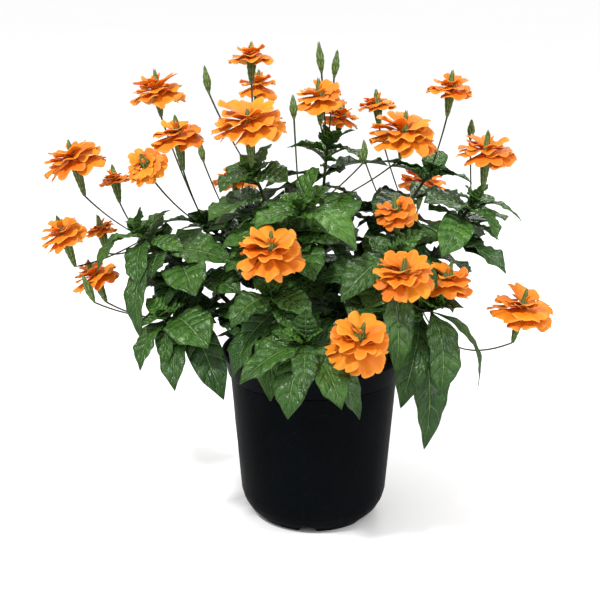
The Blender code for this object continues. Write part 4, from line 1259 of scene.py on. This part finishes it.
# %% Spin a profile
POT_STEPS = 128
POT_PROFILE = (
    (0.00, 0.30), (6.00, 0.30), (6.30, 0.02), (6.50, 0.00), (7.58, 1.08), (7.68, 1.24),
    (8.08, 1.96), (8.17, 2.16), (8.38, 2.96), (8.42, 3.10), (9.52, 16.86), (9.54, 17.00),
    (9.50, 17.05), (9.56, 17.12), (9.76, 17.20), (9.82, 17.32), (10.28, 19.28),
    (10.34, 19.38), (10.46, 19.42), (10.50, 19.50), (10.50, 19.80), (10.44, 19.90),
    (10.24, 19.90), (10.16, 19.82), (9.66, 17.42), (9.60, 17.30), (9.36, 17.12),
    (9.34, 17.00), (8.22, 3.10), (8.16, 2.90), (7.50, 1.40), (7.36, 1.26), (6.40, 0.42),
    (6.20, 0.38), (0.00, 0.38),
)


def spun(profile, steps):
    """A round shape from a profile of radius and height in centimetres."""
    shape = bmesh.new()
    points = [shape.verts.new((radius * CM, 0.0, height * CM)) for radius, height in profile]
    for first, second in zip(points, points[1:]):
        shape.edges.new((first, second))
    bmesh.ops.spin(shape, geom=shape.verts[:] + shape.edges[:], cent=(0, 0, 0),
                   axis=(0, 0, 1), angle=math.tau, steps=steps, use_merge=True)
    bmesh.ops.remove_doubles(shape, verts=shape.verts[:], dist=1e-6)
    bmesh.ops.recalc_face_normals(shape, faces=shape.faces[:])
    return shape


pot = finish_piece(spun(POT_PROFILE, POT_STEPS), "pot_shell", pot_finish, "pot", "pot")
print("pot faces:", len(pot.data.polygons))

# %% Cut the drain notches
DRAIN_HOLES = 6
DRAIN_SIDES = 36
DRAIN_RADIUS = 1.00 * CM
DRAIN_REACH = (5.6 * CM, 8.6 * CM)
DRAIN_TURN = math.radians(-96.0)
SHARP_EDGE = math.radians(40)


def settle(piece):
    """Applies a piece's modifiers and drops them."""
    settled = bpy.context.evaluated_depsgraph_get()
    mesh = bpy.data.meshes.new_from_object(piece.evaluated_get(settled))
    piece.modifiers.clear()
    piece.data = mesh
    mesh.name = piece.name


drill = bmesh.new()
near, far = DRAIN_REACH
for step in range(DRAIN_HOLES):
    turn = DRAIN_TURN + math.tau * step / DRAIN_HOLES
    place = (Matrix.Rotation(turn, 4, "Z") @ Matrix.Translation(((near + far) / 2, 0, 0))
             @ Matrix.Rotation(math.pi / 2, 4, "Y"))
    bmesh.ops.create_cone(drill, cap_ends=True, segments=DRAIN_SIDES, radius1=DRAIN_RADIUS,
                          radius2=DRAIN_RADIUS, depth=far - near, matrix=place)
drill_tool = show_shape(drill, "drill")
holes = pot.modifiers.new("holes", "BOOLEAN")
holes.operation = "DIFFERENCE"
holes.object = drill_tool
holes.solver = "EXACT"
settle(pot)
bpy.data.objects.remove(drill_tool, do_unlink=True)
pot.data.shade_smooth()
pot.data.set_sharp_from_angle(angle=SHARP_EDGE)
print("pot faces with its notches:", len(pot.data.polygons))

# %% [markdown]
# ## The potting mix
# The mix fills the pot up to two centimetres under the rim. It is spun like the pot, and its
# top is stirred with noise. Pieces of bark lie on it: each one is a small ball of few faces,
# pushed out of shape, flattened and turned.

# %% Spin and stir the mix
MIX_RINGS = 22
MIX_PROFILE = ([(0.0, 0.42), (6.15, 0.45), (7.32, 1.50), (8.10, 3.10), (9.22, 16.9),
                (9.44, 17.62)]
               + [(9.30 * (1.0 - step / MIX_RINGS), 17.8) for step in range(MIX_RINGS + 1)])
MIX_STEPS = 96
STIR = 0.26 * CM
STIR_ABOVE = 17.7 * CM
BROAD_LUMP = 2.6 * CM
FINE_LUMP = 0.5 * CM
FINE_SHARE = 0.45


def stirred(x, y):
    """How far the mix's top rises or sinks at a place."""
    broad = noise.noise(Vector((x / BROAD_LUMP, y / BROAD_LUMP, 0.4)))
    fine = noise.noise(Vector((x / FINE_LUMP, y / FINE_LUMP, 7.1)))
    return STIR * (broad + FINE_SHARE * fine)


shape = spun(MIX_PROFILE, MIX_STEPS)
for vertex in shape.verts:
    if vertex.co.z > STIR_ABOVE:
        vertex.co.z += stirred(vertex.co.x, vertex.co.y)
print("mix faces:", len(shape.faces))
finish_piece(shape, "potting_mix", mix_finish, "soil", "soil")

# %% Scatter pieces of bark
BARK_PIECES = 420
BARK_REACH = 9.0 * CM
BARK_SIZE = (0.10, 0.34)
BARK_DENTS = (0.75, 1.15)
BARK_TILT = (-0.5, 0.5)
BARK_BREADTH = (0.45, 0.9)
BARK_HEIGHT = (0.25, 0.5)
BARK_SUNK = 0.12

shape = new_shape()
draw = random.Random("bark")
for _ in range(BARK_PIECES):
    turn = draw.uniform(0.0, math.tau)
    x, y, _ = heading(turn) * (BARK_REACH * math.sqrt(draw.random()))
    size = draw.uniform(*BARK_SIZE) * CM
    made = bmesh.ops.create_icosphere(shape, subdivisions=1, radius=size)["verts"]
    for vertex in made:
        vertex.co *= draw.uniform(*BARK_DENTS)
    set_tone(shape, made, draw.random())
    place = (Matrix.Translation((x, y, SOIL_TOP + stirred(x, y) + size * BARK_SUNK))
             @ Matrix.Rotation(draw.uniform(0.0, math.tau), 4, "Z")
             @ Matrix.Rotation(draw.uniform(*BARK_TILT), 4, "X")
             @ Matrix.Diagonal((1.0, draw.uniform(*BARK_BREADTH), draw.uniform(*BARK_HEIGHT), 1.0)))
    bmesh.ops.transform(shape, matrix=place, verts=made)
print("bark faces:", len(shape.faces))
finish_piece(shape, "bark", bark_finish, "soil", "soil")

# %% [markdown]
# ## Floor, light and camera
# The floor is wide, plain and pale, so that no horizon shows. A white sky, brightest overhead,
# fills the shadows, and a soft light from the upper left gives the leaves their glints. Floor
# and sky are dimmer where they are mirrored, as in a studio hung with dark cloth, because
# a black pot and dark leaves would turn grey in an all-white room.

# %% Floor
FLOOR_MIRRORED = (0.28, 0.28, 0.28)
FLOOR_RADIUS = 30.0
floor_finish, tree, shader = new_finish("floor", Roughness=0.9, Specular_IOR_Level=0.1)
pale = mix_colours(tree, mottled(tree, 0.6, 0.2, 0.8), (0.93, 0.93, 0.93), (0.95, 0.95, 0.95))
mirrored = add_node(tree, "LightPath").outputs["Is Glossy Ray"]
dress(tree, shader, Base_Color=mix_colours(tree, mirrored, pale, FLOOR_MIRRORED))
shape = bmesh.new()
bmesh.ops.create_circle(shape, cap_ends=True, segments=64, radius=FLOOR_RADIUS)
floor = show_shape(shape, "floor", floor_finish)
print("floor", FLOOR_RADIUS * 2, "m wide")

# %% Sky and lights
SKY_LOW = 0.30
SKY_HIGH = 1.22
SKY_FULL = 0.7
SKY_MIRRORED = 0.35
scene = bpy.context.scene
world = bpy.data.worlds.new("studio")
world.use_nodes = True
tree = world.node_tree
upward = add_node(tree, "TexCoord").outputs["Generated"]
rise = add_node(tree, "SeparateXYZ", {0: upward}).outputs["Z"]
glow = remap(tree, rise, 0.0, SKY_FULL, SKY_LOW, SKY_HIGH)
mirrored = add_node(tree, "LightPath").outputs["Is Glossy Ray"]
dimmed = math_node(tree, "MULTIPLY_ADD", mirrored, SKY_MIRRORED - 1.0, 1.0)
dress(tree, tree.nodes["Background"], Color=(1.0, 1.0, 1.0), Strength=times(tree, glow, dimmed))
scene.world = world
scene.view_settings.view_transform = "Standard"


def soft_light(name, place, target, size, power):
    lamp = bpy.data.lights.new(name, "AREA")
    lamp.shape = "DISK"
    lamp.size = size
    lamp.energy = power
    holder = show(name, lamp)
    holder.location = place
    aim = Vector(target) - Vector(place)
    holder.rotation_euler = aim.to_track_quat("-Z", "Y").to_euler()


soft_light("key light", (-0.9, -1.2, 2.1), (0.0, 0.0, 0.32), size=0.24, power=46.0)
soft_light("side light", (1.6, -0.6, 1.2), (0.0, 0.0, 0.30), size=0.8, power=12.0)
soft_light("rear light", (0.6, 1.8, 1.7), (0.0, 0.0, 0.35), size=0.8, power=14.0)
print("lights:", [lamp.name for lamp in bpy.data.lights])

# %% Camera at the photograph's angle
CAMERA_PLACE = (-0.0157, -1.38, 0.664)
CAMERA_PITCH = 16.5
CAMERA_LENS = 76.4
view = bpy.data.cameras.new("camera")
view.lens = CAMERA_LENS
view.sensor_width = 36.0
camera = show("camera", view)
camera.location = CAMERA_PLACE
camera.rotation_euler = (math.radians(90.0 - CAMERA_PITCH), 0.0, 0.0)
scene.camera = camera
print("camera at", CAMERA_PLACE)

# %% [markdown]
# ## Finish

# %% Update the scene
bpy.context.view_layer.update()
